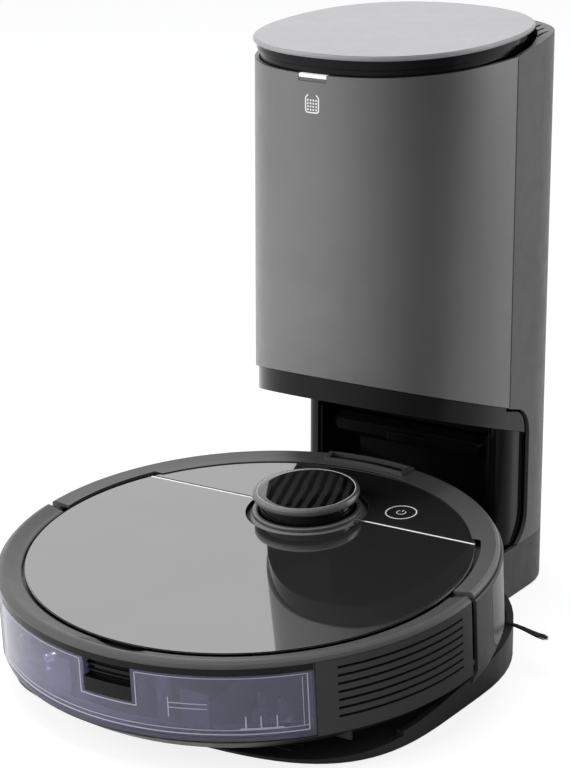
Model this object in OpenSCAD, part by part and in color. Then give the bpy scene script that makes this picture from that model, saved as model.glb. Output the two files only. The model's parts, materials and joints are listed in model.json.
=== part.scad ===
// Robot vacuum cleaner parked on its self-emptying station.
// Millimetres, +Z up. The origin lies on the floor below the middle of the parked robot,
// +Y points at the tower and +X to the right of someone who faces the tower.

/* [Robot body] */
// Radius of the robot's round body
body_r = 176.5; // [170:0.5:185]
// Height of the body's rim above the wheel contact plane
rim_z = 80; // [78:0.5:86]
// Height of the chassis underside above the wheel contact plane
ground_gap = 9; // [8:0.5:10]
// Wall thickness of the robot's outer shells
shell_t = 2.5; // [2:0.1:3]
// Width of the rim around the round top made by the flip lid and the front deck
rim_w = 19.5; // [17:0.5:24]
// Thickness of the flip lid and the front deck
lid_t = 3; // [2.5:0.1:3.5]
// Width of the gap around the flip lid
lid_gap = 2.2; // [2:0.1:3]
// Distance of the flip lid's hinge line in front of the robot's middle
hinge_y = 77; // [75:0.5:78]

/* [Bumper] */
// Travel of the bumper when it is pushed
bumper_travel = 4; // [3:0.5:5]
// Gap between the bumper's ends and the side panels
bumper_gap = 7; // [6.5:0.5:9]

/* [Turret] */
// Radius of the lidar turret's cap
turret_r = 38.5; // [36:0.5:40]
// Height of the turret's top above the wheel contact plane
turret_z = 94; // [92:0.5:98]
// Distance of the turret's axis in front of the robot's middle
turret_y = 77; // [75:0.5:78]
// Radius of the power button
button_r = 10; // [8:0.5:11]

/* [Water tank] */
// Width of the water tank
tank_w = 253; // [240:1:256]
// Height of the tank's underside
tank_z = 23.6; // [23.6:0.2:26]
// Wall thickness of the tank
tank_t = 2; // [1.6:0.1:2.4]
// Width of the tank's latch
latch_w = 38; // [30:1:44]

/* [Side panels] */
// Number of air slots in each side panel
slot_count = 7; // [5:1:7]
// Height of one air slot
slot_h = 1.8; // [1.4:0.1:2.4]
// Distance from one air slot to the next
slot_pitch = 5.9; // [5:0.1:6]

/* [Running gear] */
// Radius of a drive wheel
wheel_r = 31; // [29:0.5:31]
// Width of a drive wheel
wheel_w = 22; // [18:1:24]
// Radius of the caster wheel
caster_r = 9.5; // [8:0.5:10]
// Radius of the main brush over its bristles
brush_r = 21; // [19:0.5:21]
// Length of the main brush
brush_l = 158; // [140:1:160]
// Reach of a side brush from its axis
side_brush_r = 76; // [60:1:76]

/* [Station] */
// Slope of the ramp in degrees
ramp_angle = 5; // [4.5:0.1:5.5]
// Height of the ramp under the robot's middle
dock_z = 15; // [14.5:0.1:16]
// Width of the tower
tower_w = 182; // [176:1:190]
// Depth of the tower
tower_d = 236; // [230:1:240]
// Distance of the tower's front from the robot's middle
tower_y = 75; // [74:1:80]
// Height of the tower's top edge at its front
tower_z = 415; // [400:1:430]
// Wall thickness of the tower's covers
cover_t = 3; // [2.5:0.1:3.5]
// Height of the gloss band under the front cover
band_h = 17; // [14:1:20]
// Width of the ramp
base_w = 318; // [310:1:330]

/* [Hidden] */
$fn = 96;
eps = 0.01;
// Gap between pieces that move past each other
gap = 0.3;
// Radial clearance of a pin or shaft in its bore
run_gap = 0.05;
big = 600;

// Robot levels, measured from the wheel contact plane
deck_t = 3;
lid_top = rim_z - 2.5;
lid_low = lid_top - lid_t;
deck_top = lid_low - 2.5;
deck_low = deck_top - deck_t;
floor_t = 3;
floor_top = ground_gap + floor_t;
panel_top = rim_z - 4.4;
panel_low = 22.5;
tank_top = deck_low + 1.8;
tank_y = 76 - body_r;
latch_z = 46.5;
lid_r = body_r - rim_w;
ledge_r = lid_r + lid_gap;
chassis_r = body_r - 12.5;
seam_y = -2;
bumper_y = seam_y + bumper_gap;
bin_w = 144;
bin_y0 = tank_y + 4.5;
bin_y1 = -21;
bin_t = 2;
bin_top = deck_low - 2.5;
bin_cover_t = 4.5;
brush_y = 8;
brush_z = brush_r + 1;
wheel_x = body_r - 49.5;
wheel_y = -10;
arm_y = 30;
arm_z = wheel_r + gap;
side_brush_x = body_r - 64.5;
side_brush_y = body_r - 81.5;
side_brush_angle = 25;
caster_y = body_r - 40.5;
motor_x = 44;
fan_x = body_r - 67.5;
fan_y = tank_y + 26.7;
fan_r = 21;
battery_x = 62;
battery_y0 = 44;
battery_y1 = caster_y - 28;
hinge_z = lid_low + 0.5;
roll_r = lid_top - hinge_z;
pad_x = 24;
pad_y = caster_y - 18;
button_at = [63.4, 102.3];
well_x0 = wheel_x - 33;
well_x1 = wheel_x + wheel_w / 2 + 4;
well_y0 = wheel_y - wheel_r - 7;
well_y1 = arm_y + 10;
lidar_well_z = deck_low - 9;
// Radius of the hole in the round top around the turret
dish_r = turret_r + 6;
// Finger scoop at the lid's free edge
scoop_r = 80;
scoop_d = 6.5;
// Inner end of the lid's inner hinge bosses
boss_x = dish_r - 4.6;
caster_trail = 3;
sensor_r0 = lid_r + 5;
sensor_r1 = body_r - 5.1;
sensor_angle = 10.8;
// Radii of the shafts and pins
shaft_r = 3;
axle_r = 4;
side_shaft_r = 2.5;
caster_stem_r = 4;
caster_pin_r = 1.5;
trunnion_r = 1.2;
station_pin_r = 1.5;

// Tower levels and plan
tower_x = tower_w / 2;
tower_mid = tower_y + 130;
tower_back = tower_y + tower_d;
tower_power = 2.35;
tower_corner = 62;
cover_seam_y = tower_y + 132;
cut_slope = 0.339;
cover_low = tower_z - 217;
foot_z = 40;
column_in = 74;
column_y = tower_y + 132;
cavity_y = tower_y + 163;
motor_y = cavity_y + 32;
// Front edge of the rear housing's sides, and the bends at its ends
housing_y = tower_y + 165;
bend_high = 24;
bend_low = 26;
chamber_z = cover_low + 12;
top_rise = 8;
deck_z = tower_z + top_rise;
station_lid_x = tower_x - 1;
station_lid_y = tower_y + 116;
station_lid_b = 117;
station_lid_power = 2.3;
station_lid_z = tower_z + 11.5;
station_lid_t = 3.5;
station_hinge_y = tower_back - 9;
station_hinge_z = station_lid_z - 5.4;
base_front = 150;
base_mid = 20;
base_back = 155;
// The ramp starts to narrow towards the tower here
base_narrow = 40;
base_power = 3.7;
base_low = 1;
// Ramp's surface lies this far below the wheel contact plane
ramp_drop = 0.8;
foot_r = 9;
foot_seat = 0.8;
rear_foot_r = 10;
rear_foot_x = 60;
rear_foot_y = tower_back - 34;
hinge_room = 42;
knuckle_x0 = 12;
knuckle_x1 = 34;
liner_t = 2.5;
module_z = 105;
seal_x = 70;
seal_y = 14;
duct_x = 30;
// Right side of the duct's rising part
riser_x = 12;
duct_z0 = 3;
duct_z1 = 11.5;
duct_y0 = cavity_y + 4;
duct_y1 = cavity_y + 26;
motor_r = 22;
motor_z0 = 70;
motor_z1 = 118;
inlet_x = 0;
inlet_z = 22;
inlet_w = 28;
inlet_h = 22;
socket_w = 22;
socket_h = 16;

// Points on a circular arc
function arc(r, a0, a1, n, c = [0, 0]) =
    [for (i = [0 : n]) let (a = a0 + (a1 - a0) * i / n) [c[0] + r * cos(a), c[1] + r * sin(a)]];

// Points on part of a superellipse with half axes a and b
function super_arc(a, b, p, a0, a1, n, c = [0, 0]) =
    [for (i = [0 : n])
        let (t = a0 + (a1 - a0) * i / n)
        [c[0] + a * sign(cos(t)) * pow(abs(cos(t)), 2 / p),
         c[1] + b * sign(sin(t)) * pow(abs(sin(t)), 2 / p)]];

// Plan of the tower, inset from its outer face
function tower_plan(inset) = concat(
    super_arc(tower_x - inset, tower_mid - tower_y - inset, tower_power, -180, 0, 48, [0, tower_mid]),
    arc(tower_corner - inset, 0, 90, 10, [tower_x - tower_corner, tower_back - tower_corner]),
    arc(tower_corner - inset, 90, 180, 10, [tower_corner - tower_x, tower_back - tower_corner]));

// Plan of the station's lid, inset from its edge
function lid_plan(inset) = super_arc(
    station_lid_x - inset, station_lid_b - inset, station_lid_power, 0, 354, 59, [0, station_lid_y]);

// Plan of the ramp, inset from its edge
function base_plan(inset) = concat(
    super_arc(base_w / 2 - inset, base_front - inset, base_power, -180, 0, 40, [0, base_mid]),
    super_arc(base_w / 2 - inset, base_back - inset, 2.3, 0, 180, 40, [0, base_narrow]));

// Height of the front cover's inclined lower edge at a given depth
function cut_z(y) = cover_low - cut_slope * (y - tower_y);

// Height of the tower's top edge at a given depth
function top_z(y) = tower_z + top_rise * max(0, min(1, (y - cover_seam_y) / 55));

// Puts a piece made in the robot's own frame onto the ramp
module on_dock() {
    translate([0, 0, dock_z])
        rotate([ramp_angle, 0, 0])
            children();
}

// Extrudes a side view, given as [y, z] points, across the width
module across(x0, x1) {
    translate([x0, 0, 0])
        rotate([90, 0, 90])
            linear_extrude(x1 - x0)
                children();
}

module block(x0, x1, y0, y1, z0, z1) {
    translate([x0, y0, z0])
        cube([x1 - x0, y1 - y0, z1 - z0]);
}

module disc(r, z0, z1, c = [0, 0]) {
    translate([c[0], c[1], z0])
        cylinder(r = r, h = z1 - z0);
}

module both_sides() {
    children();
    mirror([1, 0, 0])
        children();
}

// ---------------------------------------------------------------- station

module base_plate() {
    rib_w = 2;
    color([0.12, 0.11, 0.12])
        difference() {
            union() {
                intersection() {
                    translate([0, 0, base_low])
                        linear_extrude(80)
                            polygon(base_plan(0));
                    on_dock()
                        block(-big, big, -big, 186, -big, -ramp_drop);
                }
                ramp_rim();
                ramp_ribs(rib_w);
            }
            // Mouth above the air duct
            on_dock()
                block(-seal_x, seal_x, brush_y - seal_y, brush_y + seal_y, -9, 5);
            // Passage for the air duct
            block(-duct_x - 1, duct_x + 1, brush_y - seal_y, 400, duct_z0 - 0.4, duct_z1 + gap);
            // Tower stands behind here
            block(-big, big, column_y - 17, big, -1, 200);
            // Wells for the charging contacts
            both_sides()
                on_dock()
                    block(pad_x - 9.3, pad_x + 9.3, pad_y - 5.3, pad_y + 5.3, -11, 5);
            foot_recesses();
        }
}

// Raised edge around the ramp, which guides the robot
module ramp_rim() {
    intersection() {
        difference() {
            translate([0, 0, base_low])
                linear_extrude(80)
                    polygon(base_plan(0));
            translate([0, 0, -1])
                linear_extrude(100)
                    polygon(base_plan(5));
        }
        on_dock()
            block(-big, big, -60, 170, -40, 2.2);
    }
}

// Short grip ribs on the ramp in front of the wheels
module ramp_ribs(w) {
    on_dock()
        both_sides()
            for (i = [0 : 6])
                block(62, 122 - i * 4, -58 - i * 9, -58 - i * 9 + w, -4, -0.2);
}

module foot_recesses() {
    for (p = foot_places())
        disc(foot_r + 0.2, base_low - eps, base_low + foot_seat + 0.1, p);
}

function foot_places() = [[0, 0], [110, -60], [-110, -60], [110, 90], [-110, 90], [60, -105], [-60, -105]];

module base_feet() {
    color([0.08, 0.08, 0.08]) {
        for (p = foot_places())
            disc(foot_r, 0, base_low + foot_seat, p);
        both_sides()
            disc(rear_foot_r, 0, 3, [rear_foot_x, rear_foot_y]);
    }
}

module foot_block() {
    color([0.3, 0.3, 0.31])
        difference() {
            intersection() {
                translate([0, 0, 1])
                    linear_extrude(foot_z - 1)
                        polygon(tower_plan(0));
                across(-tower_x - 1, tower_x + 1)
                    polygon([[column_y - 16.6, 0], [tower_back + 1, 0], [tower_back + 1, foot_z],
                             [column_y - 11, foot_z], [column_y - 16.6, foot_z - 8]]);
            }
            // Hollow for the duct, the motor's cables and the air
            difference() {
                translate([0, 0, 4])
                    linear_extrude(foot_z)
                        polygon(tower_plan(cover_t));
                block(-big, big, 0, column_y - 16.6 + cover_t, 0, foot_z);
            }
            block(-duct_x - 1, duct_x + 1, 0, duct_y1 + 1, duct_z0 - 0.4, duct_z1 + gap);
            both_sides()
                disc(rear_foot_r + 0.2, 0.9, 3, [rear_foot_x, rear_foot_y]);
            // Mains inlet
            block(inlet_x - inlet_w / 2, inlet_x + inlet_w / 2, tower_back - 10, tower_back + 5,
                  inlet_z - inlet_h / 2,
                  inlet_z + inlet_h / 2);
        }
}

// Side view of the rear housing, grown past its front edge
function housing_side(grow = 0) = concat(
    [[tower_back + 1, 460], [cover_seam_y + 0.4 - grow, 460],
     [cover_seam_y + 0.4 - grow, cut_z(cover_seam_y) - 0.6 - grow]],
    arc(bend_high - grow, 80, 0, 8, [housing_y - bend_high, cut_z(cover_seam_y) - bend_high - 4]),
    arc(bend_low - grow, 0, -80, 8, [housing_y - bend_low, foot_z + bend_low - 2]),
    [[housing_y - bend_low, foot_z + gap], [tower_back + 1, foot_z + gap]]);

module housing_top() {
    // Deck behind the lid, with the exhaust vents in its corners
    difference() {
        intersection() {
            translate([0, 0, deck_z - 5])
                linear_extrude(5)
                    polygon(tower_plan(0));
            block(-big, big, cover_seam_y + 15, big, 0, 500);
        }
        linear_extrude(500)
            polygon(lid_plan(-1.5));
        both_sides()
            for (i = [0 : 2])
                translate([tower_x - 10 - i * 7.3, tower_back - 59 + i * 11, deck_z - 10])
                    rotate([0, 0, 4 * i])
                        cube([2.4, 18, 20]);
    }
}

module tower_housing() {
    color([0.42, 0.42, 0.43])
        difference() {
            union() {
                intersection() {
                    difference() {
                        translate([0, 0, foot_z + gap])
                            linear_extrude(deck_z - foot_z - gap)
                                polygon(tower_plan(0));
                        translate([0, 0, -1])
                            linear_extrude(500)
                                polygon(tower_plan(cover_t));
                    }
                    across(-tower_x - 1, tower_x + 1)
                        polygon(housing_side());
                }
                housing_top();
            }
            // Top edge falls towards the front
            across(-tower_x - 1, tower_x + 1)
                polygon([[tower_y, tower_z], [cover_seam_y, tower_z], [cover_seam_y + 55, deck_z],
                         [cover_seam_y + 55, 500], [tower_y, 500]]);
            // Room for the lid's hinge
            block(-hinge_room, hinge_room, station_hinge_y - 8, big, station_hinge_z - 6, 500);
        }
    color([0.42, 0.42, 0.43])
        both_sides()
            hinge_bosses();
}

// Bosses that carry the ends of one hinge pin, on a shelf of the back wall
module hinge_bosses() {
    difference() {
        union() {
            block(0, hinge_room - 2, station_hinge_y - 5, tower_back - cover_t + 1, station_hinge_z - 9,
                  station_hinge_z - 6);
            for (x = [knuckle_x0 - 4.3, knuckle_x1 + gap]) {
                block(x, x + 4, station_hinge_y - 4, station_hinge_y + 4, station_hinge_z - 7,
                      station_hinge_z);
                translate([x, station_hinge_y, station_hinge_z])
                    rotate([0, 90, 0])
                        cylinder(r = 4, h = 4);
            }
        }
        translate([0, station_hinge_y, station_hinge_z])
            rotate([0, 90, 0])
                cylinder(r = station_pin_r + run_gap, h = 100);
    }
}

module front_cover() {
    color([0.36, 0.36, 0.37])
        difference() {
            intersection() {
                difference() {
                    linear_extrude(500)
                        polygon(tower_plan(0));
                    translate([0, 0, -1])
                        linear_extrude(502)
                            polygon(tower_plan(cover_t));
                }
                across(-tower_x - 1, tower_x + 1)
                    polygon([[tower_y - 1, cut_z(tower_y - 1)], [cover_seam_y, cut_z(cover_seam_y)],
                             [cover_seam_y, tower_z], [tower_y - 1, tower_z]]);
            }
            // Window for the indicator light
            block(-11.2, 11.2, 0, tower_y + 10, tower_z - 5.2, tower_z + 1);
        }
}

module indicator_light() {
    color([0.95, 0.95, 0.95])
        intersection() {
            block(-11, 11, 0, tower_y + 10, tower_z - 5, tower_z - 0.1);
            difference() {
                linear_extrude(500)
                    polygon(tower_plan(0.2));
                translate([0, 0, -1])
                    linear_extrude(502)
                        polygon(tower_plan(cover_t + 1));
            }
        }
}

module gloss_band() {
    color([0.07, 0.07, 0.08])
        intersection() {
            difference() {
                linear_extrude(500)
                    polygon(tower_plan(2));
                translate([0, 0, -1])
                    linear_extrude(502)
                        polygon(tower_plan(2 + cover_t));
                // Ends at the housing's curved front edge
                across(-tower_x - 1, tower_x + 1)
                    polygon(housing_side(2));
            }
            across(-tower_x - 1, tower_x + 1)
                polygon([[tower_y - 1, cut_z(tower_y - 1) - gap], [housing_y, cut_z(housing_y) - gap],
                         [housing_y, cut_z(housing_y) - band_h], [tower_y - 1,
                             cut_z(tower_y - 1) - band_h]]);
        }
}

// Plan of one column, from the inner edge to the housing's wall
module column_plan() {
    width = tower_x - cover_t - 1.2 - column_in;
    depth = 40;
    bend = 18;
    polygon(concat([[column_in, column_y + depth]],
                   super_arc(width, bend, 2.4, -90, 0, 12, [column_in, column_y + bend]),
                   [[column_in + width, column_y + depth]]));
}

module dock_frame() {
    low = foot_z + gap;
    color([0.1, 0.1, 0.11])
        both_sides()
            difference() {
                translate([0, 0, low])
                    linear_extrude(200)
                        column_plan();
                // Inclined top meets the band's lower edge
                across(0, big)
                    polygon([[0, cut_z(0) - band_h - gap], [400, cut_z(400) - band_h - gap],
                             [400, 500], [0, 500]]);
            }
}

module cavity_liner() {
    wall = liner_t;
    high = cut_z(cavity_y) - band_h + 2;
    color([0.03, 0.03, 0.03])
        union() {
            // Back wall
            block(-column_in + gap, column_in - gap, cavity_y, cavity_y + wall, foot_z + gap, high);
            // Side walls
            both_sides()
                block(column_in - gap - wall, column_in - gap, column_y + 2, cavity_y + wall,
                      foot_z + gap, high);
            // Inclined ceiling, which closes the tower's lower end
            intersection() {
                linear_extrude(500)
                    polygon(tower_plan(2 + cover_t + gap));
                across(-tower_x, tower_x)
                    polygon([[tower_y - 1, cut_z(tower_y - 1) - band_h + 1],
                             [cavity_y + wall, cut_z(cavity_y + wall) - band_h + 1],
                             [cavity_y + wall, cut_z(cavity_y + wall) - band_h + 1 + wall],
                             [tower_y - 1, cut_z(tower_y - 1) - band_h + 1 + wall]]);
            }
        }
}

module dock_module() {
    low = module_z;
    color([0.05, 0.05, 0.05])
        difference() {
            hull() {
                both_sides()
                    translate([column_in - 16, cavity_y - gap, low + 9])
                        rotate([90, 0, 0])
                            cylinder(r = 9, h = 18, $fn = 32);
                both_sides()
                    translate([column_in - 16, cavity_y - gap, low + 9])
                        rotate([90, 0, 0])
                            cylinder(r = 4, h = 23, $fn = 32);
                block(-column_in + 7, column_in - 7, cavity_y - 18, cavity_y - gap, low + 12, low + 14);
            }
            block(-17, 17, cavity_y - 25, cavity_y - 20, low + 3, low + 10);
        }
}

module ir_window() {
    color([0.12, 0.02, 0.05])
        block(-16.5, 16.5, cavity_y - 24.2, cavity_y - 20, module_z + 3.4, module_z + 9.6);
}

module suction_seal() {
    color([0.1, 0.1, 0.1])
        on_dock()
            difference() {
                block(-seal_x + gap, seal_x - gap, brush_y - seal_y + gap, brush_y + seal_y - gap, -2.6,
                      0.4);
                block(-seal_x + 8, seal_x - 8, brush_y - seal_y + 6, brush_y + seal_y - 6, -5, 5);
            }
}

module air_duct() {
    wall = 1.5;
    rise_y0 = column_y + 12;
    rise_y1 = column_y + 30;
    mid_z = 20;
    top_z = foot_z - 1;
    mouth_y = brush_y - seal_y + 1;
    color([0.2, 0.2, 0.21])
        difference() {
            union() {
                block(-duct_x, duct_x, mouth_y, rise_y1, duct_z0, duct_z1);
                block(-duct_x, duct_x, rise_y0, rise_y1, duct_z0, top_z);
                block(-duct_x, duct_x, rise_y0, duct_y1, mid_z, top_z);
                block(-duct_x, riser_x, duct_y0, duct_y1, mid_z, chamber_z - gap);
            }
            block(-duct_x + wall, duct_x - wall, mouth_y + wall, rise_y1 - wall, duct_z0 + wall,
                  duct_z1 - wall);
            block(-duct_x + wall, duct_x - wall, rise_y0 + wall, rise_y1 - wall, duct_z0 + wall,
                  top_z - wall);
            block(-duct_x + wall, duct_x - wall, rise_y0 + wall, duct_y1 - wall, mid_z + wall,
                  top_z - wall);
            block(-duct_x + wall, riser_x - wall, duct_y0 + wall, duct_y1 - wall, mid_z + wall,
                  chamber_z + 1);
            // Mouth below the suction seal
            block(-duct_x + wall, duct_x - wall, mouth_y + wall, brush_y + seal_y - 2, duct_z0 + 2,
                  duct_z1 + 1);
        }
}

module bag_chamber() {
    low = chamber_z;
    color([0.25, 0.25, 0.26])
        difference() {
            union() {
                difference() {
                    translate([0, 0, low])
                        linear_extrude(tower_z - 8 - low)
                            polygon(lid_plan(8));
                    translate([0, 0, low + 2.5])
                        linear_extrude(300)
                            polygon(lid_plan(10.5));
                }
                // Rails that carry the bag's card
                intersection() {
                    translate([0, 0, tower_z - 40])
                        linear_extrude(4)
                            polygon(lid_plan(9));
                    both_sides()
                        block(58, 100, station_lid_y - 50, station_lid_y + 50, 0, 500);
                }
            }
            // Port for the air duct
            block(-duct_x + 2, riser_x - 2, duct_y0 + 2, duct_y1 - 2, low - 5, low + 10);
            // Outlet to the motor
            disc(20, low - 5, low + 10, [0, cavity_y - 60]);
        }
}

module dust_bag() {
    low = chamber_z + 28;
    color([0.85, 0.83, 0.78])
        hull()
            for (x = [-42, 42])
                for (y = [station_lid_y - 56, station_lid_y + 56])
                    for (z = [low, tower_z - 50])
                        translate([x, y, z])
                            sphere(r = 14, $fn = 16);
}

module bag_card() {
    color([0.8, 0.8, 0.76])
        difference() {
            block(-66, 66, station_lid_y - 56, station_lid_y + 56, tower_z - 35.7, tower_z - 33);
            disc(24, tower_z - 60, tower_z, [0, station_lid_y]);
        }
}

module suction_motor() {
    color([0.55, 0.56, 0.58])
        difference() {
            union() {
                disc(motor_r, motor_z0, motor_z1, [motor_x, motor_y]);
                disc(motor_r + 4, motor_z1, motor_z1 + 3, [motor_x, motor_y]);
                // Shaft
                disc(shaft_r, motor_z1 + 3, motor_z1 + 22, [motor_x, motor_y]);
                // Bracket to the cavity's back wall
                block(motor_x - 15, motor_x + 15, cavity_y + liner_t, motor_y - motor_r + 6,
                      motor_z0 + 14, motor_z0 + 20);
            }
            disc(motor_r - 8, motor_z0 - 1, motor_z0 + 3, [motor_x, motor_y]);
        }
}

module motor_impeller() {
    color([0.7, 0.7, 0.72])
        translate([motor_x, motor_y, 0])
            difference() {
                union() {
                    disc(motor_r, motor_z1 + 4, motor_z1 + 6);
                    disc(8, motor_z1 + 4, motor_z1 + 18);
                    for (i = [0 : 8])
                        rotate([0, 0, i * 40])
                            translate([7, -0.8, motor_z1 + 5])
                                cube([motor_r - 7.6, 1.6, 10]);
                }
                disc(shaft_r + run_gap, 0, 200);
            }
}

module exhaust_filter() {
    color([0.9, 0.9, 0.88])
        union() {
            block(-66, -38, cavity_y + liner_t + gap, cavity_y + 42, motor_z0, motor_z0 + 4);
            for (i = [0 : 8])
                block(-65 + i * 3, -63.6 + i * 3, cavity_y + 4, cavity_y + 41, motor_z0 + 4, motor_z0 + 30);
        }
}

module top_collar() {
    color([0.06, 0.06, 0.07])
        difference() {
            translate([0, 0, tower_z - 14])
                linear_extrude(14 + 4.2)
                    polygon(lid_plan(5));
            translate([0, 0, tower_z - 20])
                linear_extrude(60)
                    polygon(lid_plan(7.8));
            // Room for the hinge and its shelf
            block(-hinge_room, hinge_room, station_hinge_y - 8, big, station_hinge_z - 9 - gap, 500);
        }
}

module station_lid() {
    color([0.8, 0.79, 0.8])
        union() {
            for (s = [[1.4, 0], [0.4, 0.6], [0, 1.2]])
                translate([0, 0, station_lid_z + s[1]])
                    linear_extrude(station_lid_t - 2 * s[1])
                        polygon(lid_plan(s[0]));
        }
}

module lid_rim() {
    low = tower_z + 4.2 + gap;
    color([0.05, 0.05, 0.05])
        union() {
            difference() {
                union() {
                    translate([0, 0, low])
                        linear_extrude(station_lid_z - low)
                            polygon(lid_plan(4.5));
                    translate([0, 0, low + 2.6])
                        linear_extrude(station_lid_z - low - 2.6)
                            polygon(lid_plan(2.5));
                }
                translate([0, 0, low - 1])
                    linear_extrude(5)
                        polygon(lid_plan(8));
                block(-hinge_room, hinge_room, station_hinge_y - 6, big, 0, station_lid_z - 1);
            }
            // Hinge knuckles
            both_sides()
                difference() {
                    union() {
                        translate([knuckle_x0, station_hinge_y, station_hinge_z])
                            rotate([0, 90, 0])
                                cylinder(r = 3.4, h = knuckle_x1 - knuckle_x0);
                        block(knuckle_x0, knuckle_x1, station_hinge_y - 8, station_hinge_y, station_hinge_z,
                              station_lid_z);
                    }
                    translate([0, station_hinge_y, station_hinge_z])
                        rotate([0, 90, 0])
                            cylinder(r = station_pin_r, h = 100);
                }
        }
}

module station_hinge_pin() {
    color([0.7, 0.7, 0.72])
        both_sides()
            translate([knuckle_x0 - 4, station_hinge_y, station_hinge_z])
                rotate([0, 90, 0])
                    cylinder(r = station_pin_r, h = knuckle_x1 - knuckle_x0 + 8);
}

module mains_inlet() {
    color([0.08, 0.08, 0.08])
        difference() {
            block(inlet_x - inlet_w / 2 + 0.2, inlet_x + inlet_w / 2 - 0.2, tower_back - 10,
                  tower_back - 0.4,
                  inlet_z - inlet_h / 2 + 0.2, inlet_z + inlet_h / 2 - 0.2);
            block(inlet_x - socket_w / 2, inlet_x + socket_w / 2, tower_back - 7, tower_back + 1,
                  inlet_z - socket_h / 2, inlet_z + socket_h / 2);
        }
}

module charge_contacts() {
    color([0.8, 0.72, 0.5])
        on_dock()
            both_sides()
                intersection() {
                    block(pad_x - 9, pad_x + 9, pad_y - 5, pad_y + 5, -7, 7.9);
                    translate([pad_x, pad_y - 20, -12])
                        rotate([-90, 0, 0])
                            cylinder(r = 19.9, h = 40);
                }
}

// ------------------------------------------------------------------ robot

// Turns a [radius, height] profile about the robot's axis
module ring(pts) {
    rotate_extrude()
        polygon(pts);
}

module rear_part() {
    intersection() {
        children();
        block(-big, big, -big, seam_y, -50, 200);
    }
}

module front_part() {
    intersection() {
        children();
        block(-big, big, bumper_y, big, -50, 200);
    }
}

module wheel_well_cut() {
    both_sides()
        block(well_x0, well_x1, well_y0, well_y1, 0, 66);
}

module chassis() {
    color([0.1, 0.1, 0.1])
        on_dock()
            difference() {
                union() {
                    // Floor with its chamfered edge
                    ring([[0, ground_gap], [chassis_r - 6, ground_gap], [chassis_r, ground_gap + 5],
                          [chassis_r, floor_top + 6], [chassis_r - shell_t, floor_top + 6],
                          [chassis_r - shell_t, floor_top], [0, floor_top]]);
                    // Skirt under the side panels
                    difference() {
                        rear_part()
                            ring([[chassis_r - 1, ground_gap + 3.4], [body_r - 1.6, panel_low - 1],
                                  [body_r - 1.6, panel_low - 0.3], [chassis_r - 1, panel_low - 0.3]]);
                        block(-tank_w / 2 - 1, tank_w / 2 + 1, -big, -100, tank_z - 0.6, 100);
                    }
                    // Walls of the wheel wells
                    both_sides()
                        difference() {
                            block(well_x0 - 2, well_x1 + 2, well_y0 - 2, well_y1 + 2, floor_top - 1,
                                  deck_low - gap);
                            block(well_x0, well_x1, well_y0, well_y1, 0, 100);
                        }
                    // Tunnel over the main brush
                    intersection() {
                        translate([-brush_l / 2 - 7, brush_y, brush_z])
                            rotate([0, 90, 0])
                                cylinder(r = brush_r + 4.5, h = brush_l + 14);
                        block(-big, big, -big, big, floor_top - 1, 100);
                    }
                    block(-brush_l / 2 - 7, brush_l / 2 + 7, brush_y - brush_r - 4.5,
                          brush_y + brush_r + 4.5, floor_top - 1, brush_z);
                    // Housings of the side brush gears
                    both_sides()
                        disc(13, floor_top - 1, 34, [side_brush_x, side_brush_y]);
                    // Caster socket
                    disc(16, floor_top - 1, 36, [0, caster_y]);
                    // Wall between the dust bin and the tank, and the walls beside the bin
                    block(38.5 - body_r, body_r - 38.5, tank_y + 0.8, tank_y + 3, floor_top - 1,
                          deck_low - gap);
                    both_sides()
                        block(bin_w / 2 + 0.8, bin_w / 2 + 2.8, tank_y + 2, bin_y1 + 4, floor_top - 1, 58);
                    // Battery tray
                    difference() {
                        block(-battery_x - 2.5, battery_x + 2.5, battery_y0 - 2.5, battery_y1 + 2.5,
                              floor_top - 1, 26);
                        block(-battery_x - 0.5, battery_x + 0.5, battery_y0 - 0.5, battery_y1 + 0.5,
                              floor_top, 50);
                    }
                    // Screw posts that carry the deck
                    for (p = [[-30, body_r - 26.5], [30, body_r - 26.5], [body_r - 34.5, 60],
                              [34.5 - body_r, 60], [-100, tank_y + 10.5], [86, tank_y + 8.5]])
                        disc(4, floor_top - 1, deck_low, p);
                }
                // Brush mouth
                translate([-brush_l / 2 - 4, brush_y, brush_z])
                    rotate([0, 90, 0])
                        cylinder(r = brush_r + 2, h = brush_l + 8);
                block(-brush_l / 2 - 4, brush_l / 2 + 4, brush_y - brush_r - 2, brush_y + brush_r + 2, 0,
                      brush_z);
                // Passage from the dust bin to the fan
                block(bin_w / 2, bin_w / 2 + 4, fan_y - 9.3, fan_y + 9.3, 40.7, 53.3);
                // Suction passage from the brush into the dust bin
                block(-24, 24, bin_y1 - 2, brush_y, 22, 38);
                // Main brush bearings
                translate([-100, brush_y, brush_z])
                    rotate([0, 90, 0])
                        cylinder(r = shaft_r + run_gap, h = 200);
                wheel_well_cut();
                // Bores for the wheel arms' pins
                both_sides()
                    translate([wheel_x - 40, arm_y, arm_z])
                        rotate([0, 90, 0])
                            cylinder(r = shaft_r + run_gap, h = 80);
                // Side brush shafts
                both_sides()
                    disc(side_shaft_r + run_gap, 0, 32, [side_brush_x, side_brush_y]);
                // Caster well and stem
                disc(14, 0, 23, [0, caster_y]);
                disc(caster_stem_r + run_gap, 0, 33, [0, caster_y]);
                // Seats of the charge pads
                both_sides()
                    block(pad_x - 8, pad_x + 8, pad_y - 4, pad_y + 4, 0, ground_gap + 1);
            }
}

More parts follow.
